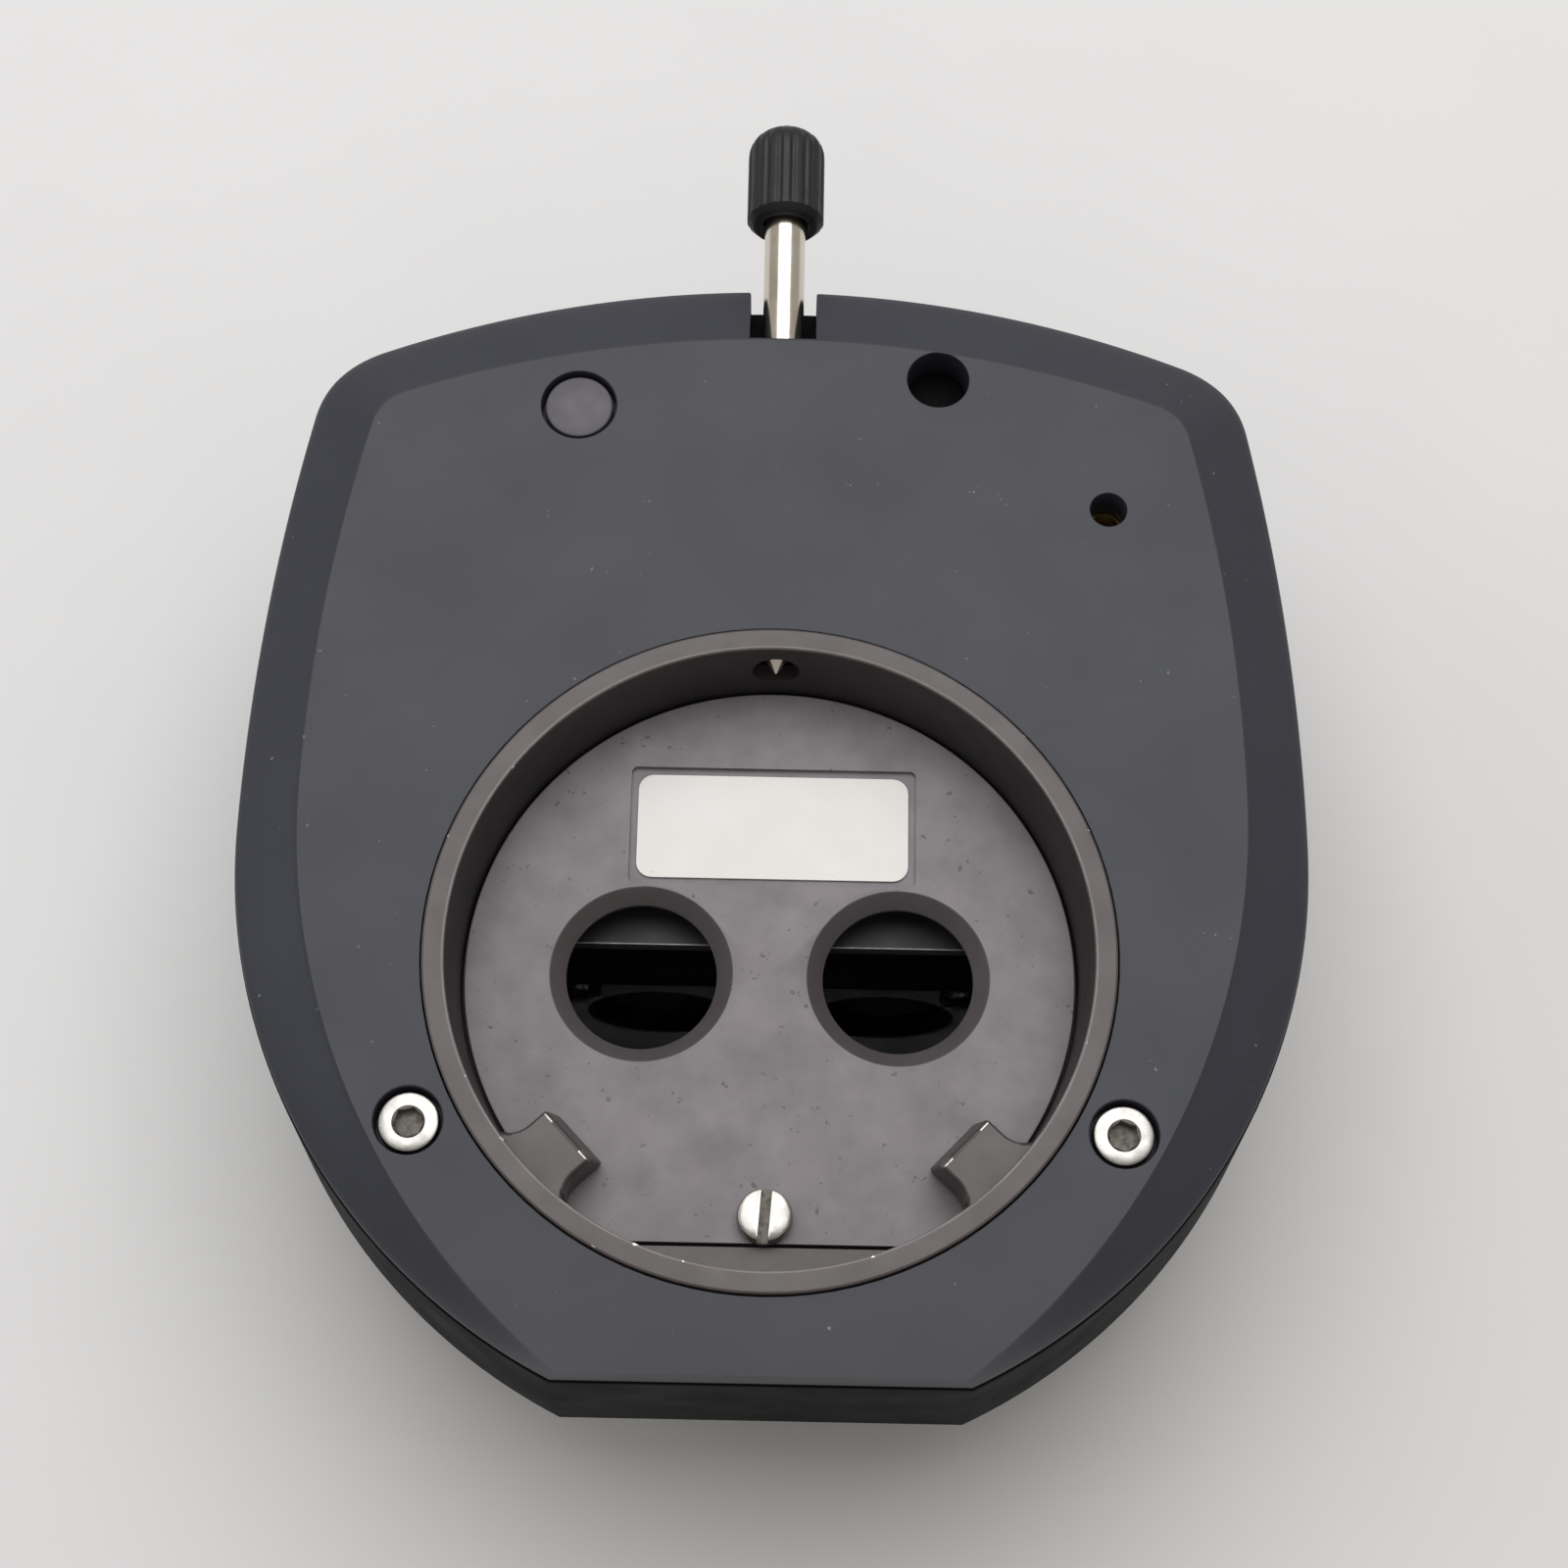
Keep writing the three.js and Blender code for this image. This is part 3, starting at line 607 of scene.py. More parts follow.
# Front edge of the bracket's rail: the anodised frame painted grey as a highlight along the edge.
RAIL_EDGE_PAINTED_HIGHLIGHT = Finish(
    name="aluminium_anodised_rubbed_edge",
    colour="#8f8b86",
    blotch="#5f5c59",
    blotch_mm=1.5,
    roughness=0.4,
    metallic=0.7,
    grain_mm=0.2,
    grain_depth_mm=0.006,
)
# Flange: steel turned to a dovetail, with tool rings on its face.
TURNED_STEEL = TurnedFinish(
    name="steel_turned",
    colour="#b4b4b6",
    blotch="#98989b",
    blotch_mm=8.0,
    roughness=0.3,
    gloss_swing=0.06,
    metallic=1.0,
    grain_depth_mm=0.006,
    pitch_mm=0.3,
)
# Mirror: float glass with a silvered front.
SILVER = Finish(
    name="glass_front_silvered",
    colour="#dfe4e8",
    blotch="#d3d9de",
    blotch_mm=12.0,
    roughness=0.04,
    gloss_swing=0.02,
    metallic=1.0,
    grain_mm=4.0,
    grain_depth_mm=0.0005,
)
# Ground edge of the mirror glass: pale and frosted.
GROUND_GLASS = Finish(
    name="glass_ground_edge",
    colour="#9fa8a5",
    blotch="#b7c0bc",
    blotch_mm=1.0,
    roughness=0.55,
    grain_mm=0.15,
    grain_depth_mm=0.01,
)
# O-ring: nitrile rubber, moulded.
NITRILE = Finish(
    name="nitrile_rubber_moulded",
    colour="#161616",
    blotch="#202020",
    blotch_mm=1.0,
    roughness=0.7,
    grain_mm=0.1,
    grain_depth_mm=0.004,
)


# ------------------------------------------------------------------ shaping
class Blank:
    """A closed solid in millimetres that can be moved, cut and joined."""

    def __init__(self, corners: Sequence[Sequence[float]], faces: Sequence[Sequence[int]]) -> None:
        """Keeps the corners and faces.

        Args:
            corners: Corner positions.
            faces: Corner numbers of each face, counter-clockwise seen from outside.
        """
        self.corners = [Vector(c) for c in corners]
        self.faces = [tuple(f) for f in faces]

    @classmethod
    def stacked(cls, levels: Sequence[tuple[Loop, float]]) -> "Blank":
        """Solid between outlines of equal length at rising heights.

        Args:
            levels: Outlines, counter-clockwise from above, with their heights.

        Returns:
            The solid, closed by flat ends.
        """
        count = len(levels[0][0])
        corners = [(x, y, z) for loop, z in levels for x, y in loop]
        faces: list[Sequence[int]] = []
        for k in range(len(levels) - 1):
            for i in range(count):
                j = (i + 1) % count
                faces.append((k * count + i, k * count + j, (k + 1) * count + j, (k + 1) * count + i))
        top = (len(levels) - 1) * count
        faces.append(tuple(reversed(range(count))))
        faces.append(tuple(range(top, top + count)))
        return cls(corners, faces)

    @classmethod
    def prism(cls, loop: Loop, low: float, high: float) -> "Blank":
        """Straight solid over one outline."""
        return cls.stacked([(loop, low), (loop, high)])

    @classmethod
    def eased_prism(cls, loop: Loop, low: float, high: float, ease: float = 0.2) -> "Blank":
        """Straight solid with its top and bottom rims broken.

        Args:
            loop: The outline.
            low: Lower height.
            high: Upper height.
            ease: Width of the broken edge.

        Returns:
            The solid.
        """
        steps = [(1.0, 0.0), (0.3, 0.3), (0.0, 1.0)]
        lower = [(shrunk(loop, ease * a), low + ease * b) for a, b in steps]
        upper = [(shrunk(loop, ease * a), high - ease * b) for a, b in reversed(steps)]
        return cls.stacked(lower + upper)

    @classmethod
    def box(cls, low: Sequence[float], high: Sequence[float]) -> "Blank":
        """Rectangular cutter between two corners."""
        loop = [(low[0], low[1]), (high[0], low[1]), (high[0], high[1]), (low[0], high[1])]
        return cls.prism(loop, low[2], high[2])

    @classmethod
    def turned(
        cls,
        profile: Sequence[Point],
        at: Sequence[float] = (0.0, 0.0, 0.0),
        axis: Axis = Axis.UP,
        steps: int = FINE,
    ) -> "Blank":
        """Solid of revolution.

        Args:
            profile: Radius and height pairs. They start and end on the axis, or close on themselves.
            at: Where the profile's zero lies.
            axis: Direction of rising height.
            steps: Facets round the axis.

        Returns:
            The solid.
        """
        solid = profile[0][0] < 1e-9 and profile[-1][0] < 1e-9
        corners: list[tuple[float, float, float]] = []
        rows: list[list[int]] = []
        for r, h in profile:
            if solid and r < 1e-9:
                rows.append([len(corners)] * steps)
                corners.append((0.0, 0.0, h))
                continue
            rows.append(list(range(len(corners), len(corners) + steps)))
            for i in range(steps):
                a = 2 * math.pi * i / steps
                corners.append((r * math.cos(a), r * math.sin(a), h))
        pairs = list(zip(rows, rows[1:]))
        if not solid:
            pairs.append((rows[-1], rows[0]))
        faces = []
        for lower, upper in pairs:
            for i in range(steps):
                j = (i + 1) % steps
                ring = [lower[i], lower[j], upper[j], upper[i]]
                face = [c for n, c in enumerate(ring) if c != ring[n - 1]]
                if len(face) > 2:
                    faces.append(face)
        blank = cls(corners, faces)
        if axis is Axis.BACK:
            blank = blank.spun(-90, "X")
        elif axis is Axis.ACROSS:
            blank = blank.spun(90, "Y")
        return blank.moved(*at)

    def moved(self, x: float = 0.0, y: float = 0.0, z: float = 0.0) -> "Blank":
        """The solid shifted."""
        step = Vector((x, y, z))
        return Blank([c + step for c in self.corners], self.faces)

    def spun(self, degrees: float, axis: str) -> "Blank":
        """The solid turned about a line through the origin."""
        turn = Matrix.Rotation(math.radians(degrees), 3, axis)
        return Blank([turn @ c for c in self.corners], self.faces)

    def sided(self, side: Side) -> "Blank":
        """The solid as built for the right, or mirrored to the left."""
        if side is Side.RIGHT:
            return self
        flipped = [Vector((-c.x, c.y, c.z)) for c in self.corners]
        return Blank(flipped, [tuple(reversed(f)) for f in self.faces])

    def mesh(self, name: str, scale: float = 1.0) -> bpy.types.Mesh:
        """Writes the solid to a mesh.

        Args:
            name: Mesh name.
            scale: Factor on every corner.

        Returns:
            The mesh.
        """
        data = bpy.data.meshes.new(name)
        data.from_pydata([tuple(c * scale for c in corner) for corner in self.corners], [], self.faces)
        data.update()
        return data

    def worked(self, operation: str, tools: Sequence["Blank"]) -> "Blank":
        """Runs one boolean after another.

        Args:
            operation: DIFFERENCE, UNION or INTERSECT.
            tools: The other solids.

        Returns:
            The result.
        """
        scene = bpy.context.scene.collection
        body = bpy.data.objects.new("blank", self.mesh("blank"))
        scene.objects.link(body)
        helpers = []
        for tool in tools:
            helper = bpy.data.objects.new("tool", tool.mesh("tool"))
            scene.objects.link(helper)
            helpers.append(helper)
            step = body.modifiers.new("step", "BOOLEAN")
            step.operation = operation
            step.solver = "MANIFOLD"
            step.object = helper
        graph = bpy.context.evaluated_depsgraph_get()
        graph.update()
        result = bpy.data.meshes.new_from_object(body.evaluated_get(graph))
        corners = [v.co.copy() for v in result.vertices]
        faces = [tuple(p.vertices) for p in result.polygons]
        for helper in [body, *helpers]:
            data = helper.data
            bpy.data.objects.remove(helper)
            bpy.data.meshes.remove(data)
        bpy.data.meshes.remove(result)
        return Blank(corners, faces)

    def cut(self, *tools: "Blank") -> "Blank":
        """The solid less the tools."""
        return self.worked("DIFFERENCE", tools)

    def joined(self, *tools: "Blank") -> "Blank":
        """The solid and the tools as one."""
        return self.worked("UNION", tools)

    def piece(
        self,
        name: str,
        body: Body,
        finish: Finish,
        slot: str,
        nodes: Sequence[str] | None = None,
        ease: float = 0.0,
    ) -> bpy.types.Object:
        """Turns the solid into a piece of the model.

        Args:
            name: Piece name.
            body: The body that it rides on.
            finish: Its finish.
            slot: The record's material slot; not used.
            nodes: The frame nodes that it stands for, or its own name's node.
            ease: Width of a bevel on sharp edges, or zero.

        Returns:
            The object.
        """
        data = self.mesh(name, MM)
        shape = bmesh.new()
        shape.from_mesh(data)
        bmesh.ops.remove_doubles(shape, verts=shape.verts, dist=1e-7)
        bmesh.ops.dissolve_degenerate(shape, edges=shape.edges, dist=1e-7)
        bmesh.ops.recalc_face_normals(shape, faces=shape.faces)
        shape.to_mesh(data)
        shape.free()
        data.materials.append(finish.material())
        obj = bpy.data.objects.new(name, data)
        bpy.context.scene.collection.objects.link(obj)
        if ease:
            bevel = obj.modifiers.new("ease", "BEVEL")
            bevel.width = ease * MM
            bevel.segments = 2
            bevel.limit_method = "ANGLE"
            bevel.angle_limit = math.radians(40)
            settle(obj)
        obj.data.shade_smooth()
        obj.data.set_sharp_from_angle(angle=SMOOTH_ANGLE)
        weigh = obj.modifiers.new("weigh", "WEIGHTED_NORMAL")
        weigh.keep_sharp = True
        settle(obj)
        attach(obj, body.value)
        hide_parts(*(nodes or [name]))
        log.info("%s: %d faces on %s", name, len(obj.data.polygons), body.value)
        return obj


def settle(obj: bpy.types.Object) -> None:
    """Writes an object's modifiers into its mesh.

    Args:
        obj: The object.
    """
    graph = bpy.context.evaluated_depsgraph_get()
    graph.update()
    done = bpy.data.meshes.new_from_object(obj.evaluated_get(graph))
    obj.modifiers.clear()
    obj.data = done


def refinish(obj: bpy.types.Object, finish: Finish, chosen: Callable[[Vector, Vector], bool]) -> None:
    """Gives some faces of a piece another finish.

    Args:
        obj: The piece.
        finish: The other finish.
        chosen: Says from a face's centre, in millimetres, and its normal whether it changes.
    """
    number = len(obj.data.materials)
    obj.data.materials.append(finish.material())
    for face in obj.data.polygons:
        if chosen(face.center / MM, face.normal):
            face.material_index = number


def shrunk(loop: Loop, by: float) -> Loop:
    """Moves an outline inwards along its corner normals.

    Args:
        loop: Counter-clockwise outline.
        by: Distance.

    Returns:
        The smaller outline, with as many points.
    """
    out: Loop = []
    count = len(loop)
    for i, (x, y) in enumerate(loop):
        ax, ay = loop[i - 1]
        bx, by_ = loop[(i + 1) % count]
        first = Vector((x - ax, y - ay)).normalized()
        second = Vector((bx - x, by_ - y)).normalized()
        normal = Vector((-(first.y + second.y), first.x + second.x))
        if normal.length < 1e-9:
            out.append((x, y))
            continue
        normal.normalize()
        lean = max(0.5, normal.x * -first.y + normal.y * first.x)
        out.append((x + normal.x * by / lean, y + normal.y * by / lean))
    return out


def arc(cx: float, cy: float, r: float, start: float, end: float, steps: int) -> Loop:
    """Points along an arc.

    Args:
        cx: Centre, X.
        cy: Centre, Y.
        r: Radius.
        start: First angle in degrees.
        end: Last angle in degrees.
        steps: Number of stretches.

    Returns:
        The points, ends included.
    """
    points = []
    for i in range(steps + 1):
        a = math.radians(start + (end - start) * i / steps)
        points.append((cx + r * math.cos(a), cy + r * math.sin(a)))
    return points


def rounded_rectangle(width: float, height: float, corner: float, steps: int = 6) -> Loop:
    """A rectangle about the origin with round corners.

    Args:
        width: Extent along X.
        height: Extent along Y.
        corner: Corner radius.
        steps: Stretches per corner.

    Returns:
        Counter-clockwise outline.
    """
    x, y = width / 2 - corner, height / 2 - corner
    loop: Loop = []
    for sx, sy, start in ((1, -1, -90), (1, 1, 0), (-1, 1, 90), (-1, -1, 180)):
        loop += arc(sx * x, sy * y, corner, start, start + 90, steps)
    return loop


def hexagon(across_flats: float) -> Loop:
    """A hexagon by its width over the flats."""
    return arc(0, 0, across_flats / math.sqrt(3), 0, 300, 5)


@dataclass(frozen=True)
class PlanOutline:
    """The module's plan: a short flat front, bulging sides, round back corners and a shallow back arc.

    Attributes:
        flat_y: The front flat, from the seat centre.
        flat_half: Half its length.
        side_x: Greatest half width.
        side_y: Where the sides are widest.
        corner_x: Half width at the back corners.
        rear_y: Middle of the back.
        fillet: Reach of the corner rounding.
        rear_r: Radius of the back arc.
        seat_y: The seat centre in the row frame.
    """

    flat_y: float
    flat_half: float
    side_x: float
    side_y: float
    corner_x: float
    rear_y: float
    fillet: float
    rear_r: float = 105.0
    seat_y: float = -30.0

    def grown(self, by: float, flat_by: float | None = None) -> "PlanOutline":
        """The outline moved outwards.

        Args:
            by: Distance at the sides and back.
            flat_by: Distance at the front flat, or the same.

        Returns:
            The larger outline.
        """
        front = by if flat_by is None else flat_by
        return PlanOutline(
            self.flat_y - front,
            self.flat_half + by * 0.4,
            self.side_x + by,
            self.side_y,
            self.corner_x + by,
            self.rear_y + by,
            self.fillet,
            self.rear_r,
            self.seat_y,
        )

    def blended(self, other: "PlanOutline", share: float) -> Loop:
        """Points part of the way to another outline."""
        pairs = zip(self.loop(), other.loop())
        return [(a[0] + (b[0] - a[0]) * share, a[1] + (b[1] - a[1]) * share) for a, b in pairs]

    def loop(self) -> Loop:
        """Draws the outline.

        Returns:
            Counter-clockwise points in the row frame.
        """
        a = self.side_x - self.flat_half
        d = self.side_y - self.flat_y
        front_r = (a * a + d * d) / (2 * a)
        front_x = self.side_x - front_r
        start = math.degrees(math.atan2(-d, self.flat_half - front_x))
        rear_cy = self.rear_y - self.rear_r
        corner_y = rear_cy + math.sqrt(self.rear_r**2 - self.corner_x**2)
        sag = self.side_x - self.corner_x
        run = corner_y - self.side_y
        side_r = (run * run + sag * sag) / (2 * sag)
        side_end = math.degrees(math.asin(run / side_r) - self.fillet / side_r)
        rear_start = math.degrees(math.asin((self.corner_x - self.fillet) / self.rear_r))
        front = arc(front_x, self.side_y, front_r, start, 0, 44)
        side = arc(self.side_x - side_r, self.side_y, side_r, 0, side_end, 22)[1:]
        rear = arc(0, rear_cy, self.rear_r, 90 - rear_start, 90, 26)
        bend: Loop = []
        steps = 16
        for i in range(1, steps):
            t = i / steps
            weights = ((1 - t) ** 2, 2 * t * (1 - t), t * t)
            corners = (side[-1], (self.corner_x, corner_y), rear[0])
            bend.append(tuple(sum(w * c[k] for w, c in zip(weights, corners)) for k in (0, 1)))
        right = [*front, *side, *bend, *rear]
        left = [(-x, y) for x, y in reversed(right[:-1])]
        return [(x, y + self.seat_y) for x, y in [*right, *left]]


EDGE_PLAN = PlanOutline(-38.6, 18.5, 50.0, 12.0, 44.9, 70.4, 5.0)
FACE_PLAN = PlanOutline(-38.6, 17.7, 43.9, 15.0, 39.1, 62.9, 2.5)
TRAY_PLAN = PlanOutline(-33.4, 16.0, 46.0, 12.0, 41.2, 67.6, 6.0)


def lip(radius: float, depth: float, top: float, ease: float = 0.2) -> Blank:
    """Cutter for a round hole with a broken rim, about the origin.

    Args:
        radius: Hole radius.
        depth: Depth below the top.
        top: Height of the surface.
        ease: Width of the broken rim.

    Returns:
        The cutter.
    """
    return Blank.turned(
        [
            (0, top - depth),
            (radius, top - depth),
            (radius, top - ease),
            (radius + ease * 0.3, top - ease * 0.3),
            (radius + ease, top),
            (radius + ease, top + 2),
            (0, top + 2),
        ],
        steps=96,
    )


def socket_screw(head_r: float, head_h: float, shank_r: float, shank: float, flats: float) -> Blank:
    """Socket-head screw standing on its head's underside at the origin.

    Args:
        head_r: Head radius.
        head_h: Head height.
        shank_r: Shank radius.
        shank: Shank length.
        flats: Width of the hexagon over its flats.

    Returns:
        The screw.
    """
    body = Blank.turned(
        [
            (0, -shank),
            (shank_r - 0.25, -shank),
            (shank_r, -shank + 0.3),
            (shank_r, 0),
            (head_r - 0.15, 0),
            (head_r, 0.15),
            (head_r, head_h - 0.3),
            (head_r - 0.09, head_h - 0.09),
            (head_r - 0.3, head_h),
            (0, head_h),
        ],
        steps=96,
    )
    key = Blank.prism(hexagon(flats), head_h * 0.35, head_h + 1)
    mouth = Blank.turned(
        [
            (0, head_h - 0.25),
            (flats / 2, head_h - 0.25),
            (flats / 2 * 1.22, head_h + 0.02),
            (flats / 2 * 1.22, head_h + 1),
            (0, head_h + 1),
        ],
        steps=96,
    )
    return body.cut(key, mouth)


def paint_recess_shade(obj: bpy.types.Object, span: Span, head: float) -> None:
    """Paints shade into the socket or slot of a standing screw's head.

    Args:
        obj: The screw.
        span: Its room.
        head: Height of its head.
    """

    def chosen(mid: Vector, normal: Vector) -> bool:
        """Whether a face lies in the recess of the head."""
        reach = math.hypot(mid.x - span.centre.x, mid.y - span.centre.y)
        deep = span.high.z - head * 0.97 < mid.z < span.high.z - head * 0.22
        return deep and (reach < span.size.x * 0.38 or normal.z > 0.9)

    # painted shade: the socket or slot gets a darker steel
    refinish(obj, RECESS_PAINTED_SHADE, chosen)


def slotted_screw(head_r: float, head_h: float, shank_r: float, shank: float, slot: float) -> Blank:
    """Cheese-head screw standing on its head's underside at the origin.

    Args:
        head_r: Head radius.
        head_h: Head height.
        shank_r: Shank radius.
        shank: Shank length.
        slot: Slot width.

    Returns:
        The screw.
    """
    body = Blank.turned(
        [
            (0, -shank),
            (shank_r - 0.25, -shank),
            (shank_r, -shank + 0.3),
            (shank_r, 0),
            (head_r - 0.1, 0),
            (head_r, 0.1),
            (head_r - 0.04, head_h - 0.35),
            (head_r - 0.16, head_h - 0.12),
            (head_r - 0.4, head_h - 0.01),
            (head_r * 0.5, head_h + 0.02),
            (0, head_h + 0.03),
        ],
        steps=96,
    )
    return body.cut(Blank.box((-slot / 2, -head_r - 1, head_h * 0.5), (slot / 2, head_r + 1, head_h + 1)))


# ------------------------------------------------------------------ the head
@dataclass
class Cover:
    """The bevelled top cover, its screws, plug and insert, and the black skirt under it.

    Attributes:
        thickness: Height of the bevelled edge.
        edge_step: Short upright band at the foot of the bevel.
        bore_gap: Gap round the seat ring.
        notch_half: Half width of the notch for the clamp rod.
        skirt_wall: Wall of the skirt.
        skirt_flare: How far the skirt stands out at its foot.
        skirt_low: Height of the skirt's foot in front.
        skirt_low_rear: Height of the skirt's foot at the back.
        hinge_y: Where the foot starts to rise.
        port: Where the blind hole in the face stands.
        port_r: Radius of the blind hole.
        insert_hole_r: Radius of the hole over the threaded insert.
    """

    thickness: float = 4.0
    edge_step: float = 0.5
    bore_gap: float = 0.12
    notch_half: float = 3.3
    skirt_wall: float = 2.2
    skirt_flare: float = 0.7
    skirt_low: float = 21.0
    skirt_low_rear: float = 28.0
    hinge_y: float = -14.0
    port: Point = (15.3, 28.8)
    port_r: float = 3.0
    insert_hole_r: float = 1.76
    top: float = field(init=False)
    ring: Span = field(init=False)

    def __post_init__(self) -> None:
        """Reads the cover's height and the seat ring's place."""
        self.top = Span.of("top_cover").high.z
        self.ring = Span.of("tube_seat_ring")

    def build(self) -> None:
        """Builds every piece of the cover."""
        self.plate()
        self.skirt()
        self.screws()
        self.plug()
        self.insert()

    def plate(self) -> bpy.types.Object:
        """The cover itself.

        Returns:
            The piece.
        """
        foot = self.top - self.thickness
        levels = [
            (EDGE_PLAN.grown(-0.12, 0.0).loop(), foot),
            (EDGE_PLAN.loop(), foot + 0.12),
            (EDGE_PLAN.loop(), foot + self.edge_step * 0.6),
        ]
        rise = self.thickness - self.edge_step
        for share in (0.03, 0.12, 0.25, 0.4, 0.55, 0.7, 0.82, 0.91, 0.97):
            swell = 0.16 * math.sin(math.pi * share) ** 0.8
            climb = share * 0.97 + swell * (1 - share) * 0.6
            levels.append((EDGE_PLAN.blended(FACE_PLAN, share), foot + self.edge_step + rise * climb))
        levels.append((FACE_PLAN.loop(), self.top))
        bore = self.ring.size.x / 2 + self.bore_gap
        centre = self.ring.centre
        plug = Span.of("face_plug")
        insert = Span.of("threaded_insert")
        rod = Span.of("clamp_rod").centre
        tunnel = [(0, 0), (self.notch_half, 0), (self.notch_half, 60), (0, 60)]
        tools = [
            lip(bore, 8, self.top, 0.15).moved(centre.x, centre.y),
            Blank.turned(tunnel, (rod.x, -2, rod.z), Axis.BACK),
            self.notch(rod),
            lip(plug.size.x / 2 + 0.36, 2.2, self.top, 0.22).moved(plug.centre.x, plug.centre.y),
            lip(self.port_r, 8, self.top, 0.18).moved(*self.port),
            lip(self.insert_hole_r, 8, self.top, 0.16).moved(insert.centre.x, insert.centre.y),
        ]
        for side in Side:
            screw = Span.of(f"cover_screw_{side.tag}").centre
            tools.append(lip(3.1, 2.6, self.top, 0.22).moved(screw.x, screw.y))
            tools.append(lip(1.8, 8, self.top - 2.6, 0.1).moved(screw.x, screw.y))
        blank = Blank.stacked(levels).cut(*tools)
        return blank.piece("top_cover", Body.HEAD, ENAMEL, "satin_paint")

    def notch(self, rod: Vector) -> Blank:
        """Cutter of the rear notch, with round inner corners.

        Args:
            rod: A point on the rod's axis.

        Returns:
            The cutter.
        """
        half = self.notch_half
        rear = FACE_PLAN.rear_y + FACE_PLAN.seat_y
        loop = [(half + 0.5, rear + 14), (-half - 0.5, rear + 14), (-half - 0.5, rear + 8), (-half, rear + 7)]
        loop += [(-half, rear + 0.3), (half, rear + 0.3), (half, rear + 7), (half + 0.5, rear + 8)]
        return Blank.prism(loop, rod.z - 1, self.top + 2)

    def skirt(self) -> bpy.types.Object:
        """The black shell under the cover.

        Returns:
            The piece.
        """
        top = Span.of("skirt_shell").high.z
        outer = EDGE_PLAN.grown(self.skirt_flare, 0.2)
        head = EDGE_PLAN.grown(0.15, 0.2)
        shell = Blank.stacked(
            [
                (outer.loop(), self.skirt_low - 1),
                (head.loop(), top - 0.25),
                (head.grown(-0.08, -0.08).loop(), top - 0.07),
                (head.grown(-0.25, -0.25).loop(), top),
            ]
        )
        inner = EDGE_PLAN.grown(0.15 - self.skirt_wall, 0.2 - self.skirt_wall)
        rear = EDGE_PLAN.rear_y + EDGE_PLAN.seat_y
        side_view = [
            (-100, 0),
            (90, 0),
            (90, self.skirt_low_rear + (90 - rear) * 0.128),
            (self.hinge_y, self.skirt_low),
            (-100, self.skirt_low),
        ]
        rod = Span.of("clamp_rod").centre
        half = self.notch_half
        blank = shell.cut(
            Blank.prism(inner.loop(), 0, top + 5),
            across_plate(side_view, -80, 80),
            Blank.box((-half, 25, rod.z - half - 1.2), (half, 60, top + 5)),
        )
        return blank.piece("skirt_shell", Body.HEAD, BLACK_ENAMEL, "black_paint")

    def screws(self) -> None:
        """The two cover screws."""
        for side in Side:
            name = f"cover_screw_{side.tag}"
            span = Span.of(name)
            head = 2.0
            screw = socket_screw(span.size.x / 2, head, 1.5, span.size.z - head, 2.5)
            angle = 12 if side is Side.LEFT else -20
            screw = screw.spun(angle, "Z").moved(span.centre.x, span.centre.y, span.high.z - head)
            obj = screw.piece(name, Body.HEAD, BRIGHT_STEEL, "bright_steel")
            paint_recess_shade(obj, span, head)

    def plug(self) -> bpy.types.Object:
        """The moulded plug in the face.

        Returns:
            The piece.
        """
        span = Span.of("face_plug")
        r, high = span.size.x / 2, span.size.z
        profile = [(0, 0), (r, 0), (r, high - 0.3), (r - 0.09, high - 0.09)]
        profile += [(r - 0.3, high), (0, high + 0.02)]
        blank = Blank.turned(profile, (span.centre.x, span.centre.y, span.low.z))
        return blank.piece("face_plug", Body.HEAD, GREY_ABS, "grey_plastic")

    def insert(self) -> bpy.types.Object:
        """The threaded insert under the small hole.

        Returns:
            The piece.
        """
        span = Span.of("threaded_insert")
        r, bore, high = span.size.x / 2, 1.2, span.size.z
        profile = [(bore, 0), (r, 0), (r, high - 0.15), (r - 0.15, high), (bore + 0.3, high)]
        pitch = 0.5
        turns = int(high / pitch) - 1
        for i in range(turns):
            z = high - 0.3 - i * pitch
            profile += [(bore, z), (bore + 0.22, z - pitch / 2)]
        blank = Blank.turned(profile, (span.centre.x, span.centre.y, span.low.z), steps=64)
        return blank.piece("threaded_insert", Body.HEAD, BRASS, "brass")


def across_plate(side_view: Loop, x0: float, x1: float) -> Blank:
    """Plate of constant thickness standing across X.

    Args:
        side_view: Y and Z pairs, counter-clockwise seen from +X.
        x0: Left face.
        x1: Right face.

    Returns:
        The solid.
    """
    flat = Blank.prism(side_view, x0, x1)
    return Blank([(c.z, c.x, c.y) for c in flat.corners], flat.faces)


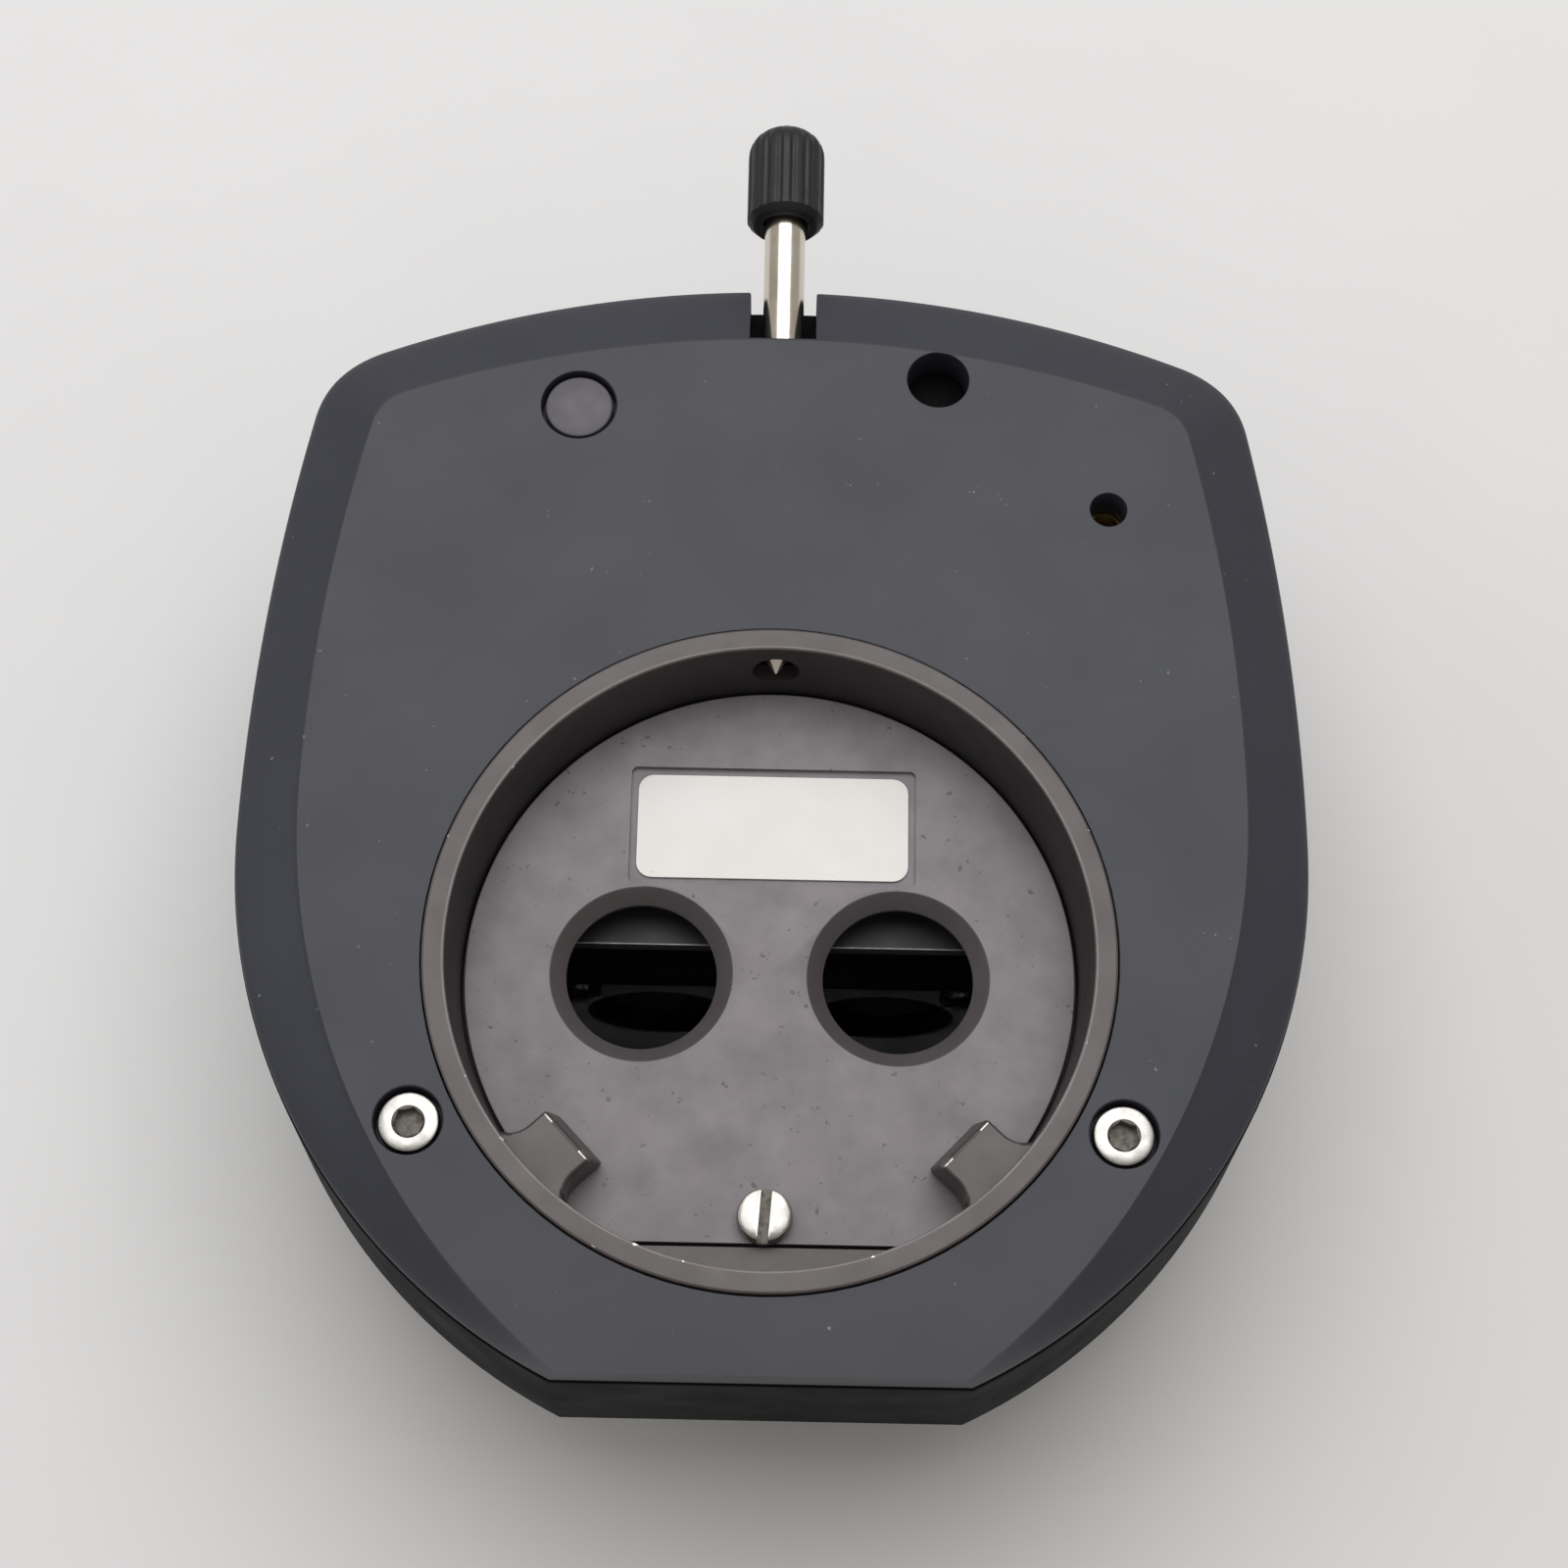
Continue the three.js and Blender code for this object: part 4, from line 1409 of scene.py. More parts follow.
@dataclass
class TubeSeat:
    """The female seat: ring with lugs, floor plate, label and the plate's screw.

    Attributes:
        bore_top: Radius of the bore at its mouth.
        bore: Radius of the bore at the floor.
        depth: Mouth to floor plate.
        ledge_r: Inner radius of the ledge under the floor plate.
        plate_t: Thickness of the floor plate.
        chord: Flat side of the floor plate, from the centre.
        aperture_r: Outer radius of an aperture's bevel.
        throat_r: Radius of an aperture's throat.
        bevel: Height of the aperture's bevel.
        shelf_drop: How far the shelf in front of the plate lies below its top.
        lug_angle: Angle of a lug's middle below the cross line, in degrees.
        lug_crest: Distance of a lug's crest from the seat's axis.
        lug_half: Half the crest's width.
        lug_end: Depth of the straight part of a lug's end.
        lug_fillet: Radius of the hollow where a lug meets the bore.
        lug_lean: How far the crest leans toward the seat's axis at its foot.
        lug_top: Depth of a lug's top below the rim.
        lug_bottom: Depth of a lug's foot below the rim.
    """

    bore_top: float = 29.5
    bore: float = 28.8
    depth: float = 8.6
    ledge_r: float = 20.4
    plate_t: float = 1.5
    chord: float = 25.3
    channel_x: float = 12.0
    aperture_r: float = 8.47
    throat_r: float = 7.05
    bevel: float = 1.1
    shelf_drop: float = 0.35
    lug_angle: float = 43.5
    lug_crest: float = 24.5
    lug_half: float = 3.1
    lug_end: float = 2.0
    lug_fillet: float = 2.6
    lug_lean: float = 1.1
    lug_top: float = 3.4
    lug_bottom: float = 8.0
    ring: Span = field(init=False)
    plate: Span = field(init=False)

    def __post_init__(self) -> None:
        """Reads the ring's and the plate's places."""
        self.ring = Span.of("tube_seat_ring")
        self.plate = Span.of("aperture_plate")

    def build(self) -> None:
        """Builds every piece of the seat."""
        self.seat_ring()
        self.floor_plate()
        self.label()
        self.plate_screw()

    def seat_ring(self) -> bpy.types.Object:
        """The ring with its bore, ledge, lugs and tip hole.

        Returns:
            The piece.
        """
        top, low, rim = self.ring.high.z, self.ring.low.z, self.ring.size.x / 2
        floor = top - self.depth
        ledge = floor - self.plate_t - 0.3
        profile = [
            (self.ledge_r, low),
            (rim - 1.0, low),
            (rim - 1.0, top - 2.3),
            (rim, top - 1.9),
            (rim, top - 0.3),
            (rim - 0.06, top - 0.12),
            (rim - 0.22, top),
            (self.bore_top + 0.28, top),
            (self.bore_top + 0.06, top - 0.1),
            (self.bore_top, top - 0.3),
            (self.bore, floor),
            (self.bore, ledge),
            (self.ledge_r, ledge),
        ]
        centre = self.ring.centre
        blank = Blank.turned(profile, (centre.x, centre.y, 0), steps=256)
        rod = Span.of("clamp_rod")
        blank = blank.joined(self.shelf(floor, ledge), self.lug(Side.LEFT), self.lug(Side.RIGHT))
        drill = [(0, 0), (2.25, 0), (2.25, 30), (0, 30)]
        hole = Blank.turned(drill, (rod.centre.x, centre.y + 15, rod.centre.z), Axis.BACK, 64)
        obj = blank.cut(hole).piece("tube_seat_ring", Body.HEAD, SEAT_METAL, "cast_grey")
        self.dress_ring(obj)
        return obj

    def shelf(self, floor: float, ledge: float) -> Blank:
        """The shelf beside the floor plate's flat side, just under the plate's top.

        Args:
            floor: Height of the plate's top.
            ledge: Height of the ledge that carries the plate.

        Returns:
            The shelf.
        """
        centre = self.ring.centre
        r = self.bore + 0.4
        low = ledge - 0.2
        high = floor - self.shelf_drop
        disc = Blank.turned([(0, low), (r, low), (r, high), (0, high)], (centre.x, centre.y, 0), steps=256)
        front = centre.y - self.chord - 0.3
        return disc.cut(Blank.box((centre.x - 40, front, 0), (centre.x + 40, centre.y + 40, 60)))

    def reach(self, mid: Vector) -> float:
        """Distance of a point from the seat's axis."""
        return math.hypot(mid.x - self.ring.centre.x, mid.y - self.ring.centre.y)

    def dress_ring(self, obj: bpy.types.Object) -> None:
        """Paints shade on the bore wall and under the floor plate, paints a highlight on the rims over their
        wear nicks, and paints highlights on the lugs' corners.

        Args:
            obj: The ring.
        """
        top = self.ring.high.z
        centre = self.ring.centre

        def inside(mid: Vector, normal: Vector) -> bool:
            """Whether a face is in the bore or under the floor plate, where shade is painted."""
            inward = normal.x * (mid.x - centre.x) + normal.y * (mid.y - centre.y) < 0
            wall = self.reach(mid) > self.bore - 0.3 and inward and mid.z < top - 0.35
            return wall or mid.z < top - self.depth - 1.0

        def rim(mid: Vector, normal: Vector) -> bool:
            """Whether a face is on the rounded edge of the mouth or of the outer rim."""
            reach = self.reach(mid)
            edge = min(abs(reach - self.bore_top - 0.15), abs(reach - self.ring.size.x / 2 + 0.1))
            return mid.z > top - 0.32 and edge < 0.14 and abs(normal.z) < 0.98

        def corner(mid: Vector, normal: Vector) -> bool:
            """Whether a face is on a corner of a lug's crest."""
            near = abs(mid.z - (top - self.lug_top)) < 0.6 and abs(normal.z) > 0.15
            return near and self.lug_corner_distance(mid) < 1.1 and normal.z < 0.98

        # painted shade: the bore wall and the faces under the floor plate get a dark finish
        refinish(obj, BORE_PAINTED_SHADE, inside)
        # painted highlight along the rims, over real wear nicks
        refinish(obj, RIM_WEAR_AND_HIGHLIGHT, rim)
        # painted highlight: the lugs' crest corners get a bright finish
        refinish(obj, LUG_CORNER_PAINTED_HIGHLIGHT, corner)

    def lug_corner_distance(self, mid: Vector) -> float:
        """Distance in plan from a point to the nearest corner of a lug's crest.

        Args:
            mid: The point.

        Returns:
            The distance.
        """
        turn = math.radians(-self.lug_angle)
        out = []
        for t in (-self.lug_half, self.lug_half):
            x = self.lug_crest * math.cos(turn) - t * math.sin(turn)
            y = self.lug_crest * math.sin(turn) + t * math.cos(turn)
            out.append(math.hypot(abs(mid.x - self.ring.centre.x) - x, mid.y - self.ring.centre.y - y))
        return min(out)

    def lug(self, side: Side) -> Blank:
        """A fixed lug under the mouth: a straight crest that leans out to its foot, with hollow ends.

        Args:
            side: Which lug.

        Returns:
            The lug.
        """
        crest, foot, wide = self.lug_crest, self.lug_crest + self.lug_end, self.lug_half
        half: Loop = [(crest, wide - 1.3)] + arc(crest + 0.35, wide - 0.35, 0.35, 180, 90, 6)
        for i in range(13):
            t = 1.5 * i / 12
            bend = self.lug_fillet
            half.append((foot + bend * math.sin(t), wide + bend * (1 - math.cos(t))))
        half.append((self.bore_top + 0.5, wide + self.lug_fillet + 0.2))
        top_loop = [(r, -t) for r, t in reversed(half)] + half
        high = self.ring.high.z - self.lug_top
        low = self.ring.high.z - self.lug_bottom
        levels = []
        for z, ease in ((low, 0.0), (high - 0.5, 0.0), (high - 0.3, 0.06), (high - 0.1, 0.2), (high, 0.4)):
            lean = self.lug_lean * (high - z) / (high - low)
            loop = [(r - lean if r < crest + 0.5 else r, t) for r, t in top_loop]
            levels.append((shrunk(self.turned_in_plan(loop), ease), z))
        return Blank.stacked(levels).sided(side).moved(self.ring.centre.x, self.ring.centre.y)

    def turned_in_plan(self, loop: Loop) -> Loop:
        """Turns radial and tangential pairs to where the right lug stands.

        Args:
            loop: Pairs, clockwise.

        Returns:
            Counter-clockwise outline.
        """
        turn = math.radians(-self.lug_angle)
        out = []
        for r, t in reversed(loop):
            out.append((r * math.cos(turn) - t * math.sin(turn), r * math.sin(turn) + t * math.cos(turn)))
        return out

    def floor_plate(self) -> bpy.types.Object:
        """The floor plate with two bevelled apertures and the label's pocket.

        Returns:
            The piece.
        """
        top, low = self.plate.high.z, self.plate.low.z
        cx, cy = self.ring.centre.x, self.ring.centre.y
        r = self.plate.size.x / 2
        disc = Blank.turned(
            [(0, low), (r, low), (r, top - 0.2), (r - 0.06, top - 0.06), (r - 0.2, top), (0, top)],
            (cx, cy, 0),
            steps=256,
        )
        aperture = [
            (0, low - 1),
            (self.throat_r, low - 1),
            (self.throat_r, top - self.bevel),
            (self.aperture_r - 0.05, top - 0.08),
            (self.aperture_r + 0.1, top),
            (self.aperture_r + 0.1, top + 1),
            (0, top + 1),
        ]
        label = Span.of("label_plate")
        pocket = rounded_rectangle(label.size.x + 1.4, label.size.y + 1.4, 0.6)
        pocket = [(x + label.centre.x, y + label.centre.y) for x, y in pocket]
        screw = Span.of("floor_plate_screw").centre
        blank = disc.cut(
            Blank.turned(aperture, (cx - self.channel_x, cy, 0)),
            Blank.turned(aperture, (cx + self.channel_x, cy, 0)),
            Blank.prism(pocket, label.low.z - 0.05, top + 1),
            Blank.box((cx - 40, cy - 60, low - 1), (cx + 40, cy - self.chord, top + 1)),
            lip(1.7, 5, top, 0.1).moved(screw.x, screw.y),
        )
        obj = blank.piece("aperture_plate", Body.HEAD, FLOOR_GREY, "floor_grey")

        def in_aperture(mid: Vector, normal: Vector) -> bool:
            """Whether a face is in an aperture's bevel or throat."""
            reach = math.hypot(abs(mid.x - cx) - self.channel_x, mid.y - cy)
            return reach < self.aperture_r + 0.1 and mid.z < top - 0.02 and normal.z > -0.9

        # painted shade: the apertures' bevels and throats get a darker finish
        refinish(obj, APERTURE_PAINTED_SHADE, in_aperture)
        return obj

    def label(self) -> bpy.types.Object:
        """The blank label.

        Returns:
            The piece.
        """
        span = Span.of("label_plate")
        loop = [
            (x + span.centre.x, y + span.centre.y)
            for x, y in rounded_rectangle(span.size.x, span.size.y, 1.5)
        ]
        blank = Blank.eased_prism(loop, span.low.z, span.high.z, 0.06)
        return blank.piece("label_plate", Body.HEAD, FILM, "blank_label")

    def plate_screw(self) -> bpy.types.Object:
        """The slotted screw that holds the floor plate.

        Returns:
            The piece.
        """
        span = Span.of("floor_plate_screw")
        head = 1.5
        screw = slotted_screw(2.53, head, 1.15, span.size.z - head, 1.0).spun(-4, "Z")
        screw = screw.moved(span.centre.x, span.centre.y, span.high.z - head)
        obj = screw.piece("floor_plate_screw", Body.HEAD, BRIGHT_STEEL, "bright_steel")
        paint_recess_shade(obj, span, head)
        return obj


@dataclass
class ClampScrew:
    """The radial clamp: fluted knob, rod with a pointed tip, set screw, bush and O-ring.

    Attributes:
        tip: Length of the point.
        flutes: Number of flutes round the knob.
        flute_depth: Depth of a flute.
    """

    tip: float = 2.4
    flutes: int = 18
    flute_depth: float = 0.18

    def build(self) -> None:
        """Builds every piece of the clamp."""
        self.rod()
        self.knob()
        self.set_screw()
        self.bush()
        self.o_ring()

    def rod(self) -> bpy.types.Object:
        """The rod with its point.

        Returns:
            The piece.
        """
        span = Span.of("clamp_rod")
        r, length = span.size.x / 2, span.size.y
        profile = [(0, 0), (0.12, 0.03), (0.2, 0.15), (r - 0.3, self.tip - 0.1)]
        profile += [(r - 0.12, self.tip + 0.12), (r, self.tip + 0.4)]
        for i in range(24):
            y = 6.5 + i * 0.7
            profile += [(r, y), (r - 0.22, y + 0.35)]
        profile += [(r, 24), (r, length - 0.2), (r - 0.2, length), (0, length)]
        blank = Blank.turned(profile, (span.centre.x, span.low.y, span.centre.z), Axis.BACK, 96)
        return blank.piece("clamp_rod", Body.SCREW, NICKEL, "nickel_plate")

    def knob(self) -> bpy.types.Object:
        """The fluted knob with a domed end.

        Returns:
            The piece.
        """
        span = Span.of("clamp_knob")
        r, length = span.size.x / 2, span.size.y
        sections = [(0.0, r - 0.85, 0.0), (0.12, r - 0.6, 0.0), (0.75, r, 0.35), (1.2, r, 1.0)]
        sections += [(length - 3.2, r, 1.0), (length - 2.4, r - 0.05, 0.9), (length - 1.7, r - 0.25, 0.7)]
        sections += [(length - 1.1, r - 0.62, 0.45), (length - 0.6, r - 1.15, 0.2)]
        sections += [(length - 0.25, r - 1.8, 0.0), (length - 0.05, r - 2.6, 0.0), (length, r - 3.2, 0.0)]
        levels = [(self.fluted(radius, share), y) for y, radius, share in sections]
        blank = Blank.stacked(levels).spun(-90, "X").moved(span.centre.x, span.low.y, span.centre.z)
        rod = Span.of("clamp_rod").size.x / 2
        at = (span.centre.x, span.low.y, span.centre.z)
        socket = Blank.turned(
            [(0, -1), (rod + 0.45, -1), (rod + 0.45, 0.0), (rod + 0.1, 0.35), (rod + 0.1, 6.8), (0, 6.8)],
            at,
            Axis.BACK,
            96,
        )
        pin = Span.of("knob_set_screw")
        side_hole = Blank.turned(
            [(0, -9), (0.85, -9), (0.85, 0), (0, 0)],
            (pin.centre.x, pin.centre.y, span.centre.z),
            steps=32,
        )
        return blank.cut(socket, side_hole).piece("clamp_knob", Body.SCREW, PHENOLIC, "black_plastic")

    def fluted(self, radius: float, share: float) -> Loop:
        """A knob section.

        Args:
            radius: Radius over the ribs.
            share: How deep the flutes are, 0 to 1.

        Returns:
            The outline.
        """
        per = 14
        loop: Loop = []
        for i in range(self.flutes * per):
            phase = (i % per) / per
            dip = max(0.0, math.cos(2 * math.pi * phase)) ** 0.9
            r = radius - self.flute_depth * share * dip
            a = 2 * math.pi * i / (self.flutes * per)
            loop.append((r * math.cos(a), r * math.sin(a)))
        return loop

    def set_screw(self) -> bpy.types.Object:
        """The set screw in the knob.

        Returns:
            The piece.
        """
        span = Span.of("knob_set_screw")
        r, high = span.size.x / 2, span.size.z
        profile = [(0, 0), (r - 0.1, 0), (r, 0.1), (r, high - 0.12), (r - 0.12, high), (0, high)]
        grub = Blank.turned(profile, steps=48)
        grub = grub.cut(Blank.prism(hexagon(0.7), high * 0.5, high + 1)).spun(180, "X")
        grub = grub.moved(span.centre.x, span.centre.y, span.high.z)
        return grub.piece("knob_set_screw", Body.SCREW, BRIGHT_STEEL, "bright_steel")

    def bush(self) -> bpy.types.Object:
        """The threaded bush in the cover's tunnel.

        Returns:
            The piece.
        """
        span = Span.of("clamp_bush")
        r, length = span.size.x / 2, span.size.y
        bore = Span.of("clamp_rod").size.x / 2 + 0.2
        profile = [(bore + 0.3, 0), (r - 0.25, 0), (r, 0.25), (r, length - 0.25)]
        profile += [(r - 0.25, length), (bore + 0.3, length)]
        profile += [(bore, length - 0.3), (bore, 0.3)]
        blank = Blank.turned(profile, (span.centre.x, span.low.y, span.centre.z), Axis.BACK, 96)
        return blank.piece("clamp_bush", Body.HEAD, BRASS, "brass")

    def o_ring(self) -> bpy.types.Object:
        """The friction ring on the rod.

        Returns:
            The piece.
        """
        span = Span.of("clamp_o_ring")
        cord_r = span.size.y / 2 * 0.6
        reach = span.size.x / 2 - cord_r
        profile = [(reach + x, y) for x, y in arc(0, 0, cord_r, 0, 345, 23)]
        blank = Blank.turned(profile, tuple(span.centre), Axis.BACK, 96)
        return blank.piece("clamp_o_ring", Body.FEED, NITRILE, "rubber")


@dataclass
class HeadFrame:
    """The parts inside the head: chassis, hinge arms and pins, drive pin and the upper mirror.

    Attributes:
        hinge_z: Height of the tilt axis.
    """

    hinge_z: float = 19.0

    def build(self) -> None:
        """Dresses the pieces that stay as the frame has them, and rebuilds the round ones."""
        dress("upper_chassis", BLACK_ENAMEL)
        self.bracket()
        for side in Side:
            dress(f"hinge_arm_{side.tag}", ANODISED)
            self.pin(side)
            for number in (1, 2):
                self.arm_screw(side, number)
        mirror("upper_mirror", Body.HEAD, -45)
        span = Span.of("drive_pin")
        r, length = span.size.y / 2, span.size.x
        profile = [(0, 0), (r - 0.2, 0), (r, 0.2), (r, length - 0.2), (r - 0.2, length), (0, length)]
        pin = Blank.turned(profile, (span.low.x, span.centre.y, span.centre.z), Axis.ACROSS, 64)
        pin.piece("drive_pin", Body.HEAD, BRIGHT_STEEL, "bright_steel")

    def bracket(self) -> bpy.types.Object:
        """The cast bracket of the upper mirror, with a rail across the back of both channels.

        Returns:
            The piece.
        """
        span, glass = Span.of("upper_mirror_bracket"), Span.of("upper_mirror")
        seat_y, top = Span.of("tube_seat_ring").centre.y, span.high.z
        half, length = glass.high.x, 17.0
        back = Blank.box((-half - 3, -length / 2, -4.1), (half + 3, length / 2, -2.1))
        back = back.spun(-45, "X").moved(0, seat_y, self.hinge_z)
        rail = Blank.box((-half - 2, seat_y + 4.4, top - 3.7), (half + 2, seat_y + 9, top - 2.0))
        view = [
            (seat_y - 7.5, self.hinge_z + 3),
            (seat_y - 2, self.hinge_z - 3),
            (seat_y + 4.5, self.hinge_z - 9),
            (seat_y + 7.5, self.hinge_z - 6),
            (seat_y + 5, top),
            (seat_y - 9, top),
            (seat_y - 9, self.hinge_z + 4.5),
        ]
        parts = [rail]
        for side in Side:
            parts.append(across_plate(view, half + 0.3, half + 2.5).sided(side))
            foot = Blank.box((half - 4.5, seat_y - 9, top - 1.8), (half + 2.5, seat_y + 5, top))
            parts.append(foot.sided(side))
        obj = back.joined(*parts).piece(
            "upper_mirror_bracket", Body.HEAD, ANODISED, "black_anodised", ease=0.22
        )

        def front_edge(mid: Vector, normal: Vector) -> bool:
            """Whether a face is on the rail's front edge."""
            on_rail = abs(mid.y - seat_y - 4.5) < 0.2 and abs(mid.z - top + 2.1) < 0.2
            return on_rail and abs(mid.x) < half

        # painted highlight: the rail's front edge gets a bright grey finish
        refinish(obj, RAIL_EDGE_PAINTED_HIGHLIGHT, front_edge)
        return obj

    def pin(self, side: Side) -> bpy.types.Object:
        """A hinge pin with its head inside the arm.

        Args:
            side: Which pin.

        Returns:
            The piece.
        """
        name = f"hinge_pin_{side.tag}"
        span = Span.of(name)
        r, length = span.size.y / 2, span.size.x
        shank = 3.0
        profile = [(0, 0), (r - 0.2, 0), (r, 0.2), (r, 0.6), (r - 0.2, 0.8), (shank, 0.8)]
        profile += [(shank, length - 0.35), (shank - 0.35, length)]
        profile += [(1.2, length), (0.9, length - 0.5), (0, length - 0.6)]
        inner = min(abs(span.low.x), abs(span.high.x))
        blank = Blank.turned(profile, (inner, span.centre.y, span.centre.z), Axis.ACROSS, 96).sided(side)
        return blank.piece(name, Body.HEAD, BRIGHT_STEEL, "bright_steel")

    def arm_screw(self, side: Side, number: int) -> bpy.types.Object:
        """A screw that holds an arm to the chassis.

        Args:
            side: Which arm.
            number: Which of its screws.

        Returns:
            The piece.
        """
        name = f"arm_screw_{side.tag}_{number}"
        span = Span.of(name)
        head = 1.6
        screw = socket_screw(span.size.x / 2, head, 0.9, span.size.z - head, 1.5).spun(15, "Z")
        screw = screw.moved(span.centre.x, span.centre.y, span.high.z - head)
        return screw.piece(name, Body.HEAD, BRIGHT_STEEL, "bright_steel")


def dress(node: str, finish: Finish) -> bpy.types.Object:
    """Gives a frame node a finish and keeps its shape.

    Args:
        node: The node's name.
        finish: Its finish.

    Returns:
        The node's object.
    """
    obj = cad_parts[node]
    for holder in obj.material_slots:
        holder.material = finish.material()
    log.info("%s: dressed in %s", node, finish.name)
    return obj


def mirror(name: str, body: Body, lean: float) -> bpy.types.Object:
    """A silvered plate with ground edges.

    Args:
        name: Piece and node name.
        body: The body that it rides on.
        lean: Turn about X from lying face up, in degrees.

    Returns:
        The piece.
    """
    span = Span.of(name)
    thickness = 2.0
    width = span.size.x
    length = (span.size.y * math.sqrt(2)) - thickness
    loop = rounded_rectangle(width, length, 0.6, 3)
    blank = Blank.eased_prism(loop, -thickness / 2, thickness / 2, 0.3).spun(lean, "X")
    obj = blank.moved(*span.centre).piece(name, body, GROUND_GLASS, "mirror_glass")
    obj.data.materials.append(SILVER.material())
    facing = Matrix.Rotation(math.radians(lean), 3, "X") @ Vector((0, 0, 1))
    for face in obj.data.polygons:
        if face.normal.dot(facing) > 0.99:
            face.material_index = 1
    return obj


# ------------------------------------------------------------------ the base
@dataclass
class Base:
    """The tray, the dovetail flange, their screws, the hinge bushes and the mirror posts.

    Attributes:
        wall: Wall of the tray.
        floor: Thickness of its floor.
        top: Height of its wall in front.
        fall: Slope of its wall behind the hinge, in degrees.
        aperture: Radius of a base aperture.
        neck: Radius of the dovetail's neck.
        channel_x: Distance of a base aperture from the middle.
        hinge_y: Where the tilt axis crosses the tray.
        hinge_z: Height of the tilt axis.
        bush_bore_r: Radius of the bore that holds a hinge bush.
    """

    wall: float = 1.9
    floor: float = 2.5
    top: float = 35.4
    fall: float = 20.5
    aperture: float = 8.0
    neck: float = 26.0
    channel_x: float = 12.0
    hinge_y: float = -14.0
    hinge_z: float = 19.0
    bush_bore_r: float = 4.35
    tray: Span = field(init=False)

    def __post_init__(self) -> None:
        """Reads the tray's place."""
        self.tray = Span.of("base_tray")

    def build(self) -> None:
        """Builds every piece of the base."""
        self.tray_shell()
        self.flange()
        for number in (1, 2, 3):
            self.flange_screw(number)
        for side in Side:
            self.bush(side)
            dress(f"mirror_post_{side.tag}", ANODISED)

    def tray_shell(self) -> bpy.types.Object:
        """The open tray.

        Returns:
            The piece.
        """
        low = self.tray.low.z
        outer = TRAY_PLAN
        shell = Blank.stacked(
            [
                (outer.grown(-0.8).loop(), low),
                (outer.grown(-0.24).loop(), low + 0.24),
                (outer.loop(), low + 0.8),
                (outer.loop(), self.top + 2),
            ]
        )
        rear = 110.0
        drop = math.tan(math.radians(self.fall)) * (rear - self.hinge_y)
        roof = [(-100, self.top), (self.hinge_y, self.top), (rear, self.top - drop), (rear, 90), (-100, 90)]
        bush_bore = [(0, -60), (self.bush_bore_r, -60), (self.bush_bore_r, 60), (0, 60)]
        tools = [
            Blank.prism(outer.grown(-self.wall).loop(), low + self.floor, self.top + 5),
            across_plate(roof, -80, 80),
            Blank.turned(bush_bore, (0, self.hinge_y, self.hinge_z), Axis.ACROSS, 96),
        ]
        for x in (-self.channel_x, self.channel_x):
            channel = [(0, 0), (self.aperture, 0), (self.aperture, 15), (0, 15)]
            tools.append(Blank.turned(channel, (x, 0, 0), steps=128))
        for number in (1, 2, 3):
            at = Span.of(f"flange_screw_{number}").centre
            tools.append(Blank.turned([(0, 0), (1.7, 0), (1.7, 15), (0, 15)], (at.x, at.y, 0), steps=48))
        blank = shell.cut(*tools)
        return blank.piece("base_tray", Body.BASE, ANODISED, "black_anodised")

    def flange(self) -> bpy.types.Object:
        """The male dovetail flange.

        Returns:
            The piece.
        """
        span = Span.of("dovetail_flange")
        r, top = span.size.x / 2, span.high.z
        tail = r - 1.0
        profile = [
            (0, 0),
            (tail - 1.0, 0),
            (tail - 0.75, 0.06),
            (tail - 0.06, 0.75),
            (tail, 1.0),
            (tail, 2.1),
            (tail - 0.15, 2.4),
            (self.neck, 4.2),
            (self.neck, 4.5),
            (self.neck + 0.15, 4.6),
            (r - 0.25, 4.6),
            (r, 4.85),
            (r, top - 0.2),
            (r - 0.2, top),
            (0, top),
        ]
        tools = []
        for x in (-self.channel_x, self.channel_x):
            hole = [(0, -1), (self.aperture + 0.35, -1), (self.aperture + 0.35, 0), (self.aperture, 0.35)]
            hole += [(self.aperture, 15), (0, 15)]
            tools.append(Blank.turned(hole, (x, 0, 0), steps=128))
        blank = Blank.turned(profile, steps=256).cut(*tools)
        return blank.piece("dovetail_flange", Body.BASE, TURNED_STEEL, "turned_steel")

    def flange_screw(self, number: int) -> bpy.types.Object:
        """A screw through the tray's floor into the flange.

        Args:
            number: Which screw.

        Returns:
            The piece.
        """
        name = f"flange_screw_{number}"
        span = Span.of(name)
        head = 1.8
        screw = slotted_screw(2.6, head, 1.15, span.size.z - head, 0.8).spun(40 * (number - 1), "Z")
        screw = screw.moved(span.centre.x, span.centre.y, span.high.z - head)
        return screw.piece(name, Body.BASE, BRIGHT_STEEL, "bright_steel")

    def bush(self, side: Side) -> bpy.types.Object:
        """A flanged hinge bush in the tray's wall.

        Args:
            side: Which bush.

        Returns:
            The piece.
        """
        name = f"hinge_bush_{side.tag}"
        span = Span.of(name)
        collar, sleeve, bore = span.size.y / 2, 4.25, 3.15
        length = span.size.x
        profile = [
            (bore, 0.15),
            (bore + 0.15, 0),
            (collar - 0.15, 0),
            (collar, 0.15),
            (collar, 0.45),
            (collar - 0.15, 0.6),
            (sleeve, 0.6),
            (sleeve, length - 0.2),
            (sleeve - 0.2, length),
            (bore + 0.2, length),
            (bore, length - 0.2),
        ]
        inner = min(abs(span.low.x), abs(span.high.x))
        blank = Blank.turned(profile, (inner, span.centre.y, span.centre.z), Axis.ACROSS, 96).sided(side)
        return blank.piece(name, Body.BASE, BRASS, "brass")


